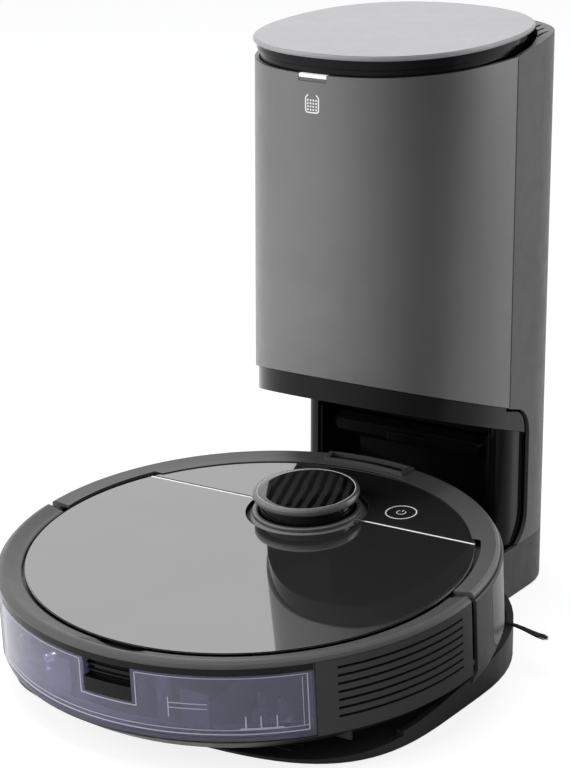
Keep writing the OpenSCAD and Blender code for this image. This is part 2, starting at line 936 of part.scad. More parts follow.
module brush_cover() {
    in_x = brush_l / 2 + 4;
    in_y = brush_r + 2;
    color([0.2, 0.2, 0.2])
        on_dock()
            difference() {
                union() {
                    block(-in_x - 7, in_x + 7, brush_y - in_y - 7, brush_y + in_y + 5, ground_gap - 2,
                          ground_gap);
                    // Lips that turn into the mouth
                    block(-in_x, in_x, brush_y - in_y, brush_y - in_y + 1.5, ground_gap - 2,
                          ground_gap + 4);
                }
                block(-in_x + 1.5, in_x - 1.5, brush_y - in_y + 1.5, brush_y + in_y - 1.5, 0, 30);
            }
}

module top_case() {
    well_r = ledge_r;
    color([0.34, 0.34, 0.34])
        on_dock()
            difference() {
                union() {
                    // Rear rim with its crest, slope and ledge
                    difference() {
                        rear_part()
                            ring([[body_r, panel_top + gap], [body_r, rim_z - 3.2], [body_r - 1.4,
                                 rim_z - 1.6],
                                  [body_r - 3.4, rim_z - 0.4], [body_r - 5, rim_z], [body_r - 6.8,
                                      rim_z - 0.5],
                                  [body_r - 12, rim_z - 2.4], [well_r + 3, rim_z - 3.1], [well_r + 1,
                                      rim_z - 3.3],
                                  [well_r, rim_z - 3.9], [well_r, deck_low], [body_r - 8, deck_low],
                                  [body_r - 8, panel_top + gap]]);
                        // Finger scoop that lifts the flip lid
                        scoop();
                    }
                    // Dark band over the tank
                    intersection() {
                        rear_part()
                            ring([[body_r - 8.5, deck_low], [body_r - 3, deck_low], [body_r - 3,
                                 tank_top + 0.3],
                                  [body_r - 0.2, tank_top + 0.3], [body_r - 0.2, panel_top + gap + eps],
                                  [body_r - 8.5, panel_top + gap + eps]]);
                        block(-tank_w / 2, tank_w / 2, -big, 0, 0, 100);
                    }
                    // Deck
                    ring([[0, deck_low], [well_r + 6, deck_low], [well_r + 6, deck_top], [0, deck_top]]);
                    // Well of the lidar's carousel
                    disc(turret_r - 5, lidar_well_z, deck_low + 1, [0, turret_y]);
                    // Cradles and inner bosses of the lid's hinge
                    both_sides() {
                        block(98, 106, hinge_y - 4, hinge_y + 4, deck_top - 1, hinge_z - 1);
                        block(boss_x, boss_x + 3.6, hinge_y - 2.6, hinge_y + 2.2, deck_top - 1,
                              hinge_z + 1.6);
                    }
                }
                // Opening over the dust bin
                block(-bin_w / 2 - 1, bin_w / 2 + 1, bin_y0 - 1, bin_y1 + 1, 0, 100);
                // The water tank's space
                block(-tank_w / 2 - 0.6, tank_w / 2 + 0.6, -big, tank_y + 0.5, 0, tank_top + 0.29);
                disc(turret_r - 8, lidar_well_z + 2, 100, [0, turret_y]);
                disc(shaft_r + run_gap, 0, 100, [0, turret_y]);
                both_sides() {
                    translate([0, hinge_y, hinge_z])
                        rotate([0, 90, 0])
                            translate([0, 0, 60])
                                cylinder(r = roll_r + 0.1, h = 80);
                    translate([boss_x - 10, hinge_y, hinge_z])
                        rotate([0, 90, 0])
                            cylinder(r = trunnion_r + run_gap, h = 14);
                }
                disc(3, 0, 100, button_at);
            }
}

module scoop() {
    intersection() {
        translate([0, 0, rim_z - scoop_d + scoop_r])
            rotate([90, 0, 0])
                cylinder(r = scoop_r, h = 2 * body_r);
        disc(body_r - 7.5, rim_z - scoop_d - 1, rim_z + 1);
    }
}

// Side panel on the right with its curved air slots
module side_panel() {
    back_x = tank_w / 2 + 0.8;
    difference() {
        intersection() {
            panel_wall(body_r - shell_t, body_r);
            block(back_x, big, -big, seam_y, 0, 200);
        }
        slots();
    }
    // Return flanges, which stiffen the panel's ends
    intersection() {
        panel_wall(body_r - 7.7, body_r - shell_t + 0.5);
        union() {
            block(back_x, back_x + 2, -big, -60, 0, 200);
            block(100, big, seam_y - 2, seam_y, 0, 200);
        }
    }
}

// Wall between two radii, drawn in short flat steps that are too small to see
module panel_wall(r0, r1) {
    translate([0, 0, panel_low])
        linear_extrude(panel_top - panel_low)
            polygon(concat(arc(r1, -56, 4, 50), arc(r0, 4, -56, 50)));
}

module slots() {
    slot_top = panel_top - 6.2 - slot_h / 2;
    for (i = [0 : slot_count - 1])
        translate([0, 0, slot_top - i * slot_pitch])
            linear_extrude(slot_h)
                polygon(concat([[0, 0]], arc(body_r + 20, -39, -4.5, 2)));
}

module side_panel_right() {
    color([0.1, 0.1, 0.1])
        on_dock()
            side_panel();
}

module side_panel_left() {
    color([0.1, 0.1, 0.1])
        on_dock()
            mirror([1, 0, 0])
                side_panel();
}

module front_deck() {
    start_y = hinge_y + roll_r + gap;
    color([0.08, 0.08, 0.09])
        on_dock()
            difference() {
                union() {
                    intersection() {
                        union() {
                            disc(lid_r, lid_low, lid_top - 0.6);
                            disc(lid_r - 0.6, lid_top - 1, lid_top);
                        }
                        block(-big, big, start_y, big, 0, 200);
                    }
                    // Rim that carries the plate on the deck
                    intersection() {
                        difference() {
                            disc(lid_r - 1, deck_top, lid_low + 1);
                            disc(lid_r - 4, 0, 200);
                        }
                        block(-big, big, start_y + 10, big, 0, 200);
                    }
                }
                disc(dish_r, 0, 200, [0, turret_y]);
                disc(button_r + gap, 0, 200, button_at);
                // Groove of the ring around the button
                difference() {
                    disc(button_r + 1.6, lid_top - 0.4, 200, button_at);
                    disc(button_r + 0.6, lid_top - 1, 201, button_at);
                }
            }
}

module robot_lid() {
    color([0.08, 0.08, 0.09])
        on_dock() {
            // Trunnions of the hinge
            both_sides()
                translate([boss_x + gap, hinge_y, hinge_z])
                    rotate([0, 90, 0])
                        cylinder(r = trunnion_r, h = 8);
            difference() {
                union() {
                    intersection() {
                        union() {
                            disc(lid_r, lid_low, lid_top - 0.6);
                            disc(lid_r - 0.6, lid_top - 1, lid_top);
                        }
                        block(-big, big, -big, hinge_y, 0, 200);
                    }
                    // Rolled front edge, which turns in place
                    intersection() {
                        translate([-big, hinge_y, hinge_z])
                            rotate([0, 90, 0])
                                cylinder(r = roll_r, h = 2 * big);
                        disc(lid_r - 0.6, 0, 200);
                    }
                }
                disc(dish_r, 0, 200, [0, turret_y]);
                // Seat of the bright strip
                block(-big, big, hinge_y + 0.2, hinge_y + 1.4, lid_top - 0.8, 200);
            }
        }
}

module lid_strip() {
    color([0.9, 0.9, 0.9])
        on_dock()
            difference() {
                intersection() {
                    block(-big, big, hinge_y + 0.2, hinge_y + 1.4, lid_top - 0.8, 200);
                    translate([-big, hinge_y, hinge_z])
                        rotate([0, 90, 0])
                            cylinder(r = roll_r, h = 2 * big);
                    disc(lid_r - 0.6, 0, 200);
                }
                disc(dish_r, 0, 200, [0, turret_y]);
            }
}

module charge_pads() {
    color([0.8, 0.72, 0.5])
        on_dock()
            both_sides()
                block(pad_x - 8, pad_x + 8, pad_y - 4, pad_y + 4, ground_gap - 0.8, ground_gap + 1);
}

module turret_ring() {
    top = lid_top + 2.6;
    in_r = turret_r - 3.2;
    color([0.5, 0.5, 0.51])
        on_dock()
            difference() {
                translate([0, turret_y, 0])
                    ring([[in_r, deck_top], [dish_r - 0.6, deck_top], [dish_r - 0.6, deck_top + 1.4],
                          [turret_r + 1, lid_top - 0.6], [turret_r + 0.8, top - 0.8], [turret_r - 0.2, top],
                          [turret_r - 2, top], [in_r, top - 1]]);
                // Room for the inner bosses of the lid's hinge
                both_sides()
                    block(boss_x - gap, boss_x + 3.9, hinge_y - 2.9, hinge_y + 2.5, 0, hinge_z + 1.9);
            }
}

module lidar_window() {
    out_r = turret_r - 4.2;
    color([0.05, 0.04, 0.05])
        on_dock()
            translate([0, turret_y, 0])
                ring([[out_r - 2, deck_top], [out_r, deck_top], [out_r, turret_z - 5.8],
                      [out_r - 2, turret_z - 5.8]]);
}

module lidar_cap() {
    low = turret_z - 5.8;
    color([0.42, 0.42, 0.43])
        on_dock()
            translate([0, turret_y, 0])
                ring([[0, low + 1.8], [turret_r - 6.5, low + 1.8], [turret_r - 6.5, low], [turret_r - 2,
                     low],
                      [turret_r - 0.6, low + 0.6], [turret_r, low + 2], [turret_r, turret_z - 2],
                      [turret_r - 0.7, turret_z - 0.6], [turret_r - 2, turret_z], [turret_r - 2.8,
                          turret_z],
                      [turret_r - 3, turret_z - 0.5], [0, turret_z - 0.5]]);
}

module lidar_rotor() {
    color([0.15, 0.15, 0.16])
        on_dock()
            translate([0, turret_y, 0])
                union() {
                    disc(turret_r - 9.5, deck_low, deck_low + 3);
                    // Spindle in the well's bearing
                    disc(5, lidar_well_z + 2 + gap, deck_low);
                    disc(shaft_r, lidar_well_z, deck_low);
                    for (a = [0, 180])
                        rotate([0, 0, a]) {
                            block(8, 20, -20, 20, deck_low + 3, deck_low + 15);
                            translate([14, -17, deck_low + 9])
                                rotate([90, 0, 0])
                                    cylinder(r = 4, h = 8);
                        }
                }
}

module power_button() {
    color([0.08, 0.08, 0.09])
        on_dock()
            union() {
                disc(button_r, lid_low, lid_top, button_at);
                disc(2.6, deck_top - 1, lid_low, button_at);
            }
}

module bumper_cap() {
    lip_y = hinge_y + roll_r + bumper_travel + 1;
    color([0.34, 0.34, 0.34])
        on_dock()
            difference() {
                union() {
                    front_part()
                        ring([[body_r - 2, panel_top], [body_r - 2, rim_z - 2.4], [body_r - 3.2,
                             rim_z - 0.6],
                              [body_r - 5.2, rim_z], [body_r - 7.6, rim_z - 0.4], [body_r - 14,
                                  rim_z - 1.3],
                              [lid_r - 1.6, lid_top + 0.7], [lid_r - 1.6, rim_z - 3.8],
                              [body_r - 9, rim_z - 3.8], [body_r - 9, panel_top - 1],
                              [body_r - 5.5, panel_top - 1], [body_r - 5.5, panel_top]]);
                    // Raised frame of the docking sensor
                    sensor_frame(sensor_r0 - 2, sensor_r1 + 1.6, sensor_angle + 1.2, rim_z - 1.7,
                                 rim_z + 1.2);
                }
                // Room for the plates of the top, which leaves a lip over the front deck
                disc(ledge_r, 0, lid_top + gap, [0, bumper_travel]);
                intersection() {
                    disc(ledge_r, 0, 200, [0, bumper_travel]);
                    block(-big, big, 0, lip_y, 0, 200);
                }
                sensor_frame(sensor_r0, sensor_r1, sensor_angle, rim_z - 3.4, rim_z + 5);
            }
}

// Part of a ring around the robot's nose, between two radii
module sensor_frame(r0, r1, half_angle, z0, z1) {
    intersection() {
        difference() {
            disc(r1, z0, z1);
            disc(r0, z0 - 1, z1 + 1);
        }
        translate([0, 0, z0])
            linear_extrude(z1 - z0)
                polygon([[0, 0], [230 * sin(half_angle), 230 * cos(half_angle)],
                         [-230 * sin(half_angle), 230 * cos(half_angle)]]);
    }
}

module dock_sensor() {
    color([0.03, 0.03, 0.03])
        on_dock()
            sensor_frame(sensor_r0, sensor_r1, sensor_angle, rim_z - 3.4, rim_z - 2.2);
}

// Side view of the bumper's front window
module window_side(inset) {
    start = 33 + inset;
    low = panel_low + inset;
    round_r = 13 - inset;
    union() {
        translate([start + round_r, low])
            square([250, panel_top - 2.2 - inset - low]);
        translate([start, low + round_r])
            square([round_r + 1, panel_top - 2.2 - inset - low - round_r]);
        translate([start + round_r, low + round_r])
            circle(r = round_r);
    }
}

module bumper_wall() {
    color([0.3, 0.3, 0.3])
        on_dock()
            difference() {
                front_part()
                    ring([[body_r, panel_low], [body_r, panel_top - 1.6], [body_r - 1, panel_top - 0.6],
                          [body_r - 2, panel_top - 0.6],
                          [body_r - 3, panel_top - 1], [body_r - 10.5, panel_top - 1],
                          [body_r - 10.5, panel_top - 2.5], [body_r - shell_t, panel_top - 2.5],
                          [body_r - shell_t, panel_low + 0.6], [body_r - 7.4, ground_gap + 3],
                          [body_r - 5, ground_gap + 2.2]]);
                // Seat of the front window
                intersection() {
                    difference() {
                        disc(body_r + 1, 0, 200);
                        disc(body_r - 1.2, -1, 201);
                    }
                    across(-big, big)
                        window_side(0);
                }
            }
}

module bumper_window() {
    color([0.36, 0.36, 0.36])
        on_dock()
            intersection() {
                ring([[body_r - 1.2, 0], [body_r - 0.1, 0], [body_r - 0.1, 200], [body_r - 1.2, 200]]);
                across(-big, big)
                    window_side(0.5);
            }
}

module dust_bin() {
    half = bin_w / 2;
    color([0.35, 0.37, 0.42])
        on_dock()
            difference() {
                block(-half, half, bin_y0, bin_y1, floor_top + 0.5, bin_top);
                block(-half + bin_t, half - bin_t, bin_y0 + bin_t, bin_y1 - bin_t,
                      floor_top + 0.5 + bin_t, 100);
                // Inlet from the brush
                block(-22, 22, bin_y1 - 5, bin_y1 + 1, 23, 37);
                // Outlet to the fan
                block(half - 5, half + 1, fan_y - 10, fan_y + 10, 40, 54);
            }
}

module bin_cover() {
    half = bin_w / 2;
    color([0.12, 0.12, 0.13])
        on_dock()
            difference() {
                union() {
                    block(-half, half, bin_y0, bin_y1, bin_top, bin_top + bin_cover_t);
                    block(-half + bin_t + gap, half - bin_t - gap, bin_y0 + bin_t + gap,
                          bin_y1 - bin_t - gap,
                          bin_top - 3, bin_top);
                }
                // Finger recess under the grip bar
                block(-30, 30, bin_y1 - 30, bin_y1 - 8, bin_top, 100);
                block(-half + bin_t + 3, half - bin_t - 3, bin_y0 + bin_t + 3, bin_y1 - bin_t - 3,
                      bin_top - 4, bin_top - 0.5);
            }
}

module bin_filter() {
    color([0.9, 0.9, 0.86])
        on_dock()
            union() {
                block(bin_w / 2 - bin_t - 8, bin_w / 2 - bin_t - gap, fan_y - 20, fan_y + 20, 36, 38);
                for (i = [0 : 12])
                    block(bin_w / 2 - bin_t - 8, bin_w / 2 - bin_t - gap, fan_y - 20 + i * 3.2,
                          fan_y - 18.4 + i * 3.2,
                          38, 58);
            }
}

module fan_housing() {
    color([0.16, 0.16, 0.17])
        on_dock()
            difference() {
                union() {
                    disc(fan_r + 2, floor_top, 56, [fan_x, fan_y]);
                    // Duct from the dust bin
                    block(bin_w / 2 + 3.3, fan_x, fan_y - 9, fan_y + 9, 41, 53);
                }
                disc(fan_r, 30, 54, [fan_x, fan_y]);
                // Outlet towards the side panel's slots
                block(fan_x, fan_x + 60, fan_y - 8, fan_y + 8, 32, 52);
                block(bin_w / 2 + 3, fan_x, fan_y - 7, fan_y + 7, 43, 51);
                difference() {
                    disc(fan_r - 3, floor_top + 2, 30.5, [fan_x, fan_y]);
                    disc(9, 0, 40, [fan_x, fan_y]);
                }
            }
}

module fan_impeller() {
    color([0.6, 0.6, 0.62])
        on_dock()
            translate([fan_x, fan_y, 0])
                union() {
                    disc(fan_r - 2, 31, 33);
                    disc(6, 33, 48);
                    for (i = [0 : 8])
                        rotate([0, 0, i * 40])
                            translate([5, -0.7, 32])
                                cube([fan_r - 8, 1.4, 12]);
                }
}

module main_brush() {
    core_r = 8.5;
    half = brush_l / 2;
    color([0.14, 0.2, 0.32])
        on_dock()
            translate([0, brush_y, brush_z])
                rotate([0, 90, 0])
                    union() {
                        translate([0, 0, -half])
                            cylinder(r = core_r, h = brush_l);
                        translate([0, 0, -half - 6.5])
                            cylinder(r = shaft_r, h = brush_l + 13);
                        for (side = [0, 1])
                            mirror([0, 0, side])
                                linear_extrude(half - 1, twist = 50, slices = 8, $fn = 6)
                                    for (i = [0 : 5])
                                        rotate([0, 0, i * 60])
                                            translate([core_r - 1, -1.1])
                                                square([brush_r - core_r + 1, 2.2]);
                    }
}

// Three-armed side brush at its own axis, turned to a given angle
module side_brush(turn) {
    union() {
        disc(9, 3, ground_gap - 0.5);
        disc(11, ground_gap - 3.5, ground_gap - 0.5);
        disc(side_shaft_r, 4, 30);
        for (i = [0 : 2])
            rotate([0, 0, turn + i * 120])
                translate([0, 0, 3.4])
                    linear_extrude(1.8)
                        polygon([[6, -2.4], [30, -1.6], [side_brush_r - 3, -4.6], [side_brush_r, 0],
                                 [side_brush_r - 3, 4.6], [30, 1.6], [6, 2.4]]);
    }
}

module side_brush_right() {
    color([0.08, 0.08, 0.08])
        on_dock()
            translate([side_brush_x, side_brush_y, 0])
                side_brush(side_brush_angle);
}

module side_brush_left() {
    color([0.08, 0.08, 0.08])
        on_dock()
            translate([-side_brush_x, side_brush_y, 0])
                side_brush(100);
}

// Gearbox arm of the right wheel
module wheel_arm() {
    arm_x0 = wheel_x - 31;
    arm_x1 = wheel_x - wheel_w / 2 - 0.5;
    union() {
        difference() {
            union() {
                block(arm_x0, arm_x1, wheel_y - 16, arm_y - 6, arm_z - 15, arm_z + 15);
                translate([arm_x0, arm_y, arm_z])
                    rotate([0, 90, 0])
                        cylinder(r = 8, h = arm_x1 - arm_x0);
                block(arm_x0, arm_x1, arm_y - 8, arm_y, arm_z - 8, arm_z + 8);
            }
            translate([arm_x0 + 3, wheel_y, arm_z])
                rotate([0, 90, 0])
                    cylinder(r = 9, h = 10);
        }
        // Pivot pin, which turns in the chassis
        translate([wheel_x - 34.8, arm_y, arm_z])
            rotate([0, 90, 0])
                cylinder(r = shaft_r, h = 20);
        // Axle stub for the wheel
        translate([arm_x1 - 2, wheel_y, arm_z])
            rotate([0, 90, 0])
                cylinder(r = axle_r, h = wheel_w - 2);
    }
}

module wheel_arm_right() {
    color([0.2, 0.2, 0.21])
        on_dock()
            wheel_arm();
}

module wheel_arm_left() {
    color([0.2, 0.2, 0.21])
        on_dock()
            mirror([1, 0, 0])
                wheel_arm();
}

// Right drive wheel with its treads
module wheel() {
    treads = 24;
    translate([wheel_x - wheel_w / 2, wheel_y, wheel_r + gap])
        rotate([0, 90, 0])
            difference() {
                union() {
                    cylinder(r = wheel_r - 2, h = wheel_w);
                    for (i = [0 : treads - 1])
                        rotate([0, 0, i * 360 / treads])
                            translate([wheel_r - 3, -1.6, 0])
                                cube([3, 3.2, wheel_w]);
                }
                translate([0, 0, -1])
                    cylinder(r = axle_r + run_gap, h = wheel_w - 2);
                translate([0, 0, wheel_w - 3])
                    difference() {
                        cylinder(r = wheel_r - 8, h = 4);
                        cylinder(r = 8, h = 4);
                    }
            }
}

module wheel_right() {
    color([0.1, 0.1, 0.1])
        on_dock()
            wheel();
}

module wheel_left() {
    color([0.1, 0.1, 0.1])
        on_dock()
            mirror([1, 0, 0])
                wheel();
}

module caster_fork() {
    color([0.18, 0.18, 0.18])
        on_dock()
            translate([0, caster_y, 0])
                difference() {
                    union() {
                        disc(12.5, 12, 21.5);
                        disc(caster_stem_r, 20, 32);
                    }
                    block(-6.6, 6.6, -20, 20, 0, 20.4);
                    translate([-20, -caster_trail, caster_r + gap + 4.5])
                        rotate([0, 90, 0])
                            cylinder(r = caster_pin_r + run_gap, h = 40);
                }
}

module caster_wheel() {
    color([0.1, 0.1, 0.1])
        on_dock()
            translate([0, caster_y - caster_trail, caster_r + gap])
                rotate([0, 90, 0])
                    union() {
                        translate([0, 0, -6])
                            cylinder(r = caster_r, h = 12);
                        translate([0, 0, -10])
                            cylinder(r = caster_pin_r, h = 20);
                    }
}

module battery() {
    color([0.2, 0.3, 0.5])
        on_dock()
            union() {
                block(-battery_x, battery_x, battery_y0, battery_y1, floor_top + gap, 44);
                both_sides()
                    block(20, 32, battery_y0 + 6, battery_y0 + 16, 44, 47);
            }
}

module water_tank() {
    color([0.45, 0.45, 0.6, 0.45])
        on_dock()
            difference() {
                union() {
                    difference() {
                        tank_body(0);
                        tank_body(tank_t);
                    }
                    // Wall around the latch
                    intersection() {
                        tank_body(0);
                        block(-latch_w / 2 - 2, latch_w / 2 + 2, -body_r, -body_r + 18, latch_z - 2,
                              tank_top);
                    }
                    intersection() {
                        tank_body(0);
                        tank_inside();
                    }
                }
                // Line around the foot of the outer wall
                difference() {
                    disc(body_r + 1, tank_z + 3, tank_z + 3.8);
                    disc(body_r - 0.7, 0, 200);
                }
                block(-latch_w / 2, latch_w / 2, -body_r - 1, -body_r + 16, latch_z, tank_top + 1);
            }
}

// Stiffening ring, posts, baffles and the two outlet valves
module tank_inside() {
    wall_y = 20.5 - body_r;
    difference() {
        disc(body_r - 10.5, tank_z, tank_z + 7);
        disc(body_r - 11.7, 0, 200);
    }
    both_sides() {
        disc(5, tank_z, tank_top, [32, wall_y - 1]);
        block(44, 66, wall_y, wall_y + 1.4, tank_z, 54);
        block(64.6, 66, wall_y, tank_y, tank_z, 48);
        block(84, 108, wall_y + 22, wall_y + 36, tank_z, 35);
        for (x = [88, 104])
            disc(3, tank_z, 46, [x, wall_y + 29]);
    }
}

// Outer or inner form of the tank
module tank_body(inset) {
    half = tank_w / 2;
    intersection() {
        disc(body_r - inset, tank_z + inset, tank_top - inset);
        block(-half + inset, half - inset, -big, tank_y - inset, 0, 200);
    }
}

module tank_latch() {
    half = latch_w / 2 - gap;
    color([0.03, 0.03, 0.03])
        on_dock()
            union() {
                intersection() {
                    disc(body_r - 0.2, latch_z + gap, latch_z + 10.6);
                    block(-half, half, -big, -body_r + 8, 0, 200);
                }
                intersection() {
                    disc(body_r - 6, latch_z + 10, tank_top - 4);
                    block(-half, half, -big, -body_r + 11.6, 0, 200);
                }
                for (z = [latch_z + 13.6, latch_z + 18])
                    intersection() {
                        disc(body_r - 4.4, z, z + 1);
                        block(-half, half, -big, -body_r + 8, 0, 200);
                    }
            }
}

base_plate();
base_feet();
foot_block();
tower_housing();
front_cover();
gloss_band();
dock_frame();
cavity_liner();
dock_module();
ir_window();
suction_seal();
air_duct();
bag_chamber();
dust_bag();
bag_card();
suction_motor();
motor_impeller();
exhaust_filter();
top_collar();
station_lid();
lid_rim();
station_hinge_pin();
indicator_light();
mains_inlet();
charge_contacts();
chassis();
top_case();
side_panel_left();
side_panel_right();
front_deck();
robot_lid();
lid_strip();
charge_pads();
turret_ring();
lidar_window();
lidar_rotor();
lidar_cap();
power_button();
bumper_cap();
bumper_wall();
bumper_window();
dock_sensor();
dust_bin();
bin_cover();
bin_filter();
fan_housing();
fan_impeller();
main_brush();
brush_cover();
side_brush_left();
side_brush_right();
wheel_arm_left();
wheel_arm_right();
wheel_left();
wheel_right();
caster_fork();
caster_wheel();
battery();
water_tank();
tank_latch();
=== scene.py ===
import json
import math
import random

import bmesh
import bpy
from mathutils import Matrix, Vector
from mathutils import noise as mnoise
from mathutils.bvhtree import BVHTree


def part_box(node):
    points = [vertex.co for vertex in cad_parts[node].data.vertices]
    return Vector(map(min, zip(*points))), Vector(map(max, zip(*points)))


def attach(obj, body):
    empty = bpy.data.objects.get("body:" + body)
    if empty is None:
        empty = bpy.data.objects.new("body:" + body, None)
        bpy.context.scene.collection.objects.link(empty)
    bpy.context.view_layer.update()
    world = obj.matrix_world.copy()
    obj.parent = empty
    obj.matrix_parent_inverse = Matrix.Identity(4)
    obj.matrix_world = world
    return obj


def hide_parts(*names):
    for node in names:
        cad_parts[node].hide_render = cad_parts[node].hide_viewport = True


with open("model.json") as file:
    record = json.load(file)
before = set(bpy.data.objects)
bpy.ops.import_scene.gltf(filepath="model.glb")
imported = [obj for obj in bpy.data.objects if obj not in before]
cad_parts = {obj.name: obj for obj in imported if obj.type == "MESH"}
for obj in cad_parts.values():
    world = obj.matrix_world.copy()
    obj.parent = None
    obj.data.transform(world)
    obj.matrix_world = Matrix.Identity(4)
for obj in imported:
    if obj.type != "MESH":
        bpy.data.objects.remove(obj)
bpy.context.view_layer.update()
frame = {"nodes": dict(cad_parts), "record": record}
nodes = frame["nodes"]

MM = 0.001
SIDES = (-1, 1)
STATION = Matrix.Identity(4)
# The robot stands on the ramp, so its own frame is raised (mm) and tilted (degrees)
DOCK_LIFT, DOCK_TILT = 15, 5
DOCK = (Matrix.Translation((0, 0, DOCK_LIFT * MM))
        @ Matrix.Rotation(math.radians(DOCK_TILT), 4, "X"))


# ---------------------------------------------------------------- shader nodes

def cleared(owner):
    """The emptied node tree of a new material or world."""
    owner.use_nodes = True
    owner.node_tree.nodes.clear()
    return owner.node_tree


def new_material(name):
    mat = bpy.data.materials.new(name)
    tree = cleared(mat)
    out = tree.nodes.new("ShaderNodeOutputMaterial")
    bsdf = tree.nodes.new("ShaderNodeBsdfPrincipled")
    tree.links.new(bsdf.outputs[0], out.inputs[0])
    return mat, tree, bsdf


def object_coords(tree):
    return tree.nodes.new("ShaderNodeTexCoord").outputs["Object"]


def axes_of(tree, vector):
    """The x, y and z outputs of a vector."""
    node = tree.nodes.new("ShaderNodeSeparateXYZ")
    tree.links.new(vector, node.inputs[0])
    return node.outputs


def noise(tree, coords, scale, detail, rough=0.55, distortion=0.0):
    node = tree.nodes.new("ShaderNodeTexNoise")
    for key, number in (("Scale", scale), ("Detail", detail), ("Roughness", rough),
                        ("Distortion", distortion)):
        node.inputs[key].default_value = number
    tree.links.new(coords, node.inputs["Vector"])
    return node.outputs["Fac"]


def mapped(tree, value, lo, hi, to_lo, to_hi):
    node = tree.nodes.new("ShaderNodeMapRange")
    for key, number in (("From Min", lo), ("From Max", hi), ("To Min", to_lo), ("To Max", to_hi)):
        node.inputs[key].default_value = number
    tree.links.new(value, node.inputs["Value"])
    return node.outputs["Result"]


def grey(level):
    return (level, level, level, 1)


def mixed(tree, factor, a, b):
    """A colour between a and b, each a colour or another node's output."""
    node = tree.nodes.new("ShaderNodeMix")
    node.data_type = "RGBA"
    tree.links.new(factor, node.inputs["Factor"])
    for socket, colour in ((node.inputs[6], a), (node.inputs[7], b)):
        if isinstance(colour, tuple):
            socket.default_value = (*colour[:3], 1)
        else:
            tree.links.new(colour, socket)
    return node.outputs[2]


def calculated(tree, operation, a, b):
    node = tree.nodes.new("ShaderNodeMath")
    node.operation = operation
    tree.links.new(a, node.inputs[0])
    tree.links.new(b, node.inputs[1])
    return node.outputs[0]


def dot_product(tree, a, b):
    """The dot product of output a and b, a vector or another node's output."""
    node = tree.nodes.new("ShaderNodeVectorMath")
    node.operation = "DOT_PRODUCT"
    tree.links.new(a, node.inputs[0])
    if isinstance(b, tuple):
        node.inputs[1].default_value = b
    else:
        tree.links.new(b, node.inputs[1])
    return node.outputs["Value"]


# ---------------------------------------------------------------- materials

def surface(name, base, rough, grain=2400, bump=0.1, mottle=0.06, vary=0.05, edge=0.5, wear=0.25,
            smudge=0.0, stretch=None, **sockets):
    """A moulded, painted or polished surface with grain, mottling, smudges and worn edges."""
    mat, tree, bsdf = new_material(name)
    new, link = tree.nodes.new, tree.links.new
    coords = fine_coords = object_coords(tree)
    if stretch:
        mapping = new("ShaderNodeMapping")
        mapping.inputs["Scale"].default_value = stretch
        link(coords, mapping.inputs["Vector"])
        fine_coords = mapping.outputs[0]
    dark = tuple(c * (1 - mottle) for c in base)
    light = tuple(min(1, c * (1 + mottle)) for c in base)
    clouds = noise(tree, coords, scale=14, detail=5)
    colour = mixed(tree, mapped(tree, clouds, 0.35, 0.65, 0, 1), dark, light)
    fine = noise(tree, fine_coords, scale=grain, detail=2)
    colour = mixed(tree, mapped(tree, fine, 0.3, 0.7, 0, 0.35), colour, light)
    bevel = new("ShaderNodeBevel")
    bevel.samples = 6
    bevel.inputs["Radius"].default_value = edge * MM
    if wear:
        # Edges are where the rounded normal leaves the flat one
        flat = new("ShaderNodeNewGeometry").outputs["Normal"]
        rubbed = mapped(tree, dot_product(tree, bevel.outputs[0], flat), 0.99, 0.8, 0, wear)
        worn = tuple(min(1, c * 1.6 + 0.03) for c in base)
        colour = mixed(tree, rubbed, colour, worn)
    link(colour, bsdf.inputs["Base Color"])
    marks = noise(tree, coords, scale=90, detail=4, rough=0.6, distortion=0.4)
    roughness = mapped(tree, marks, 0.3, 0.7, max(0.01, rough - vary), rough + vary)
    if smudge:
        smears = noise(tree, coords, scale=22, detail=6, rough=0.7, distortion=1.2)
        roughness = calculated(tree, "ADD", roughness, mapped(tree, smears, 0.5, 0.75, 0, smudge))
    link(roughness, bsdf.inputs["Roughness"])
    relief = new("ShaderNodeBump")
    relief.inputs["Strength"].default_value = bump
    relief.inputs["Distance"].default_value = 0.1 * MM
    link(fine, relief.inputs["Height"])
    link(bevel.outputs[0], relief.inputs["Normal"])
    link(relief.outputs[0], bsdf.inputs["Normal"])
    for socket, value in sockets.items():
        bsdf.inputs[socket.replace("_", " ")].default_value = value
    return mat


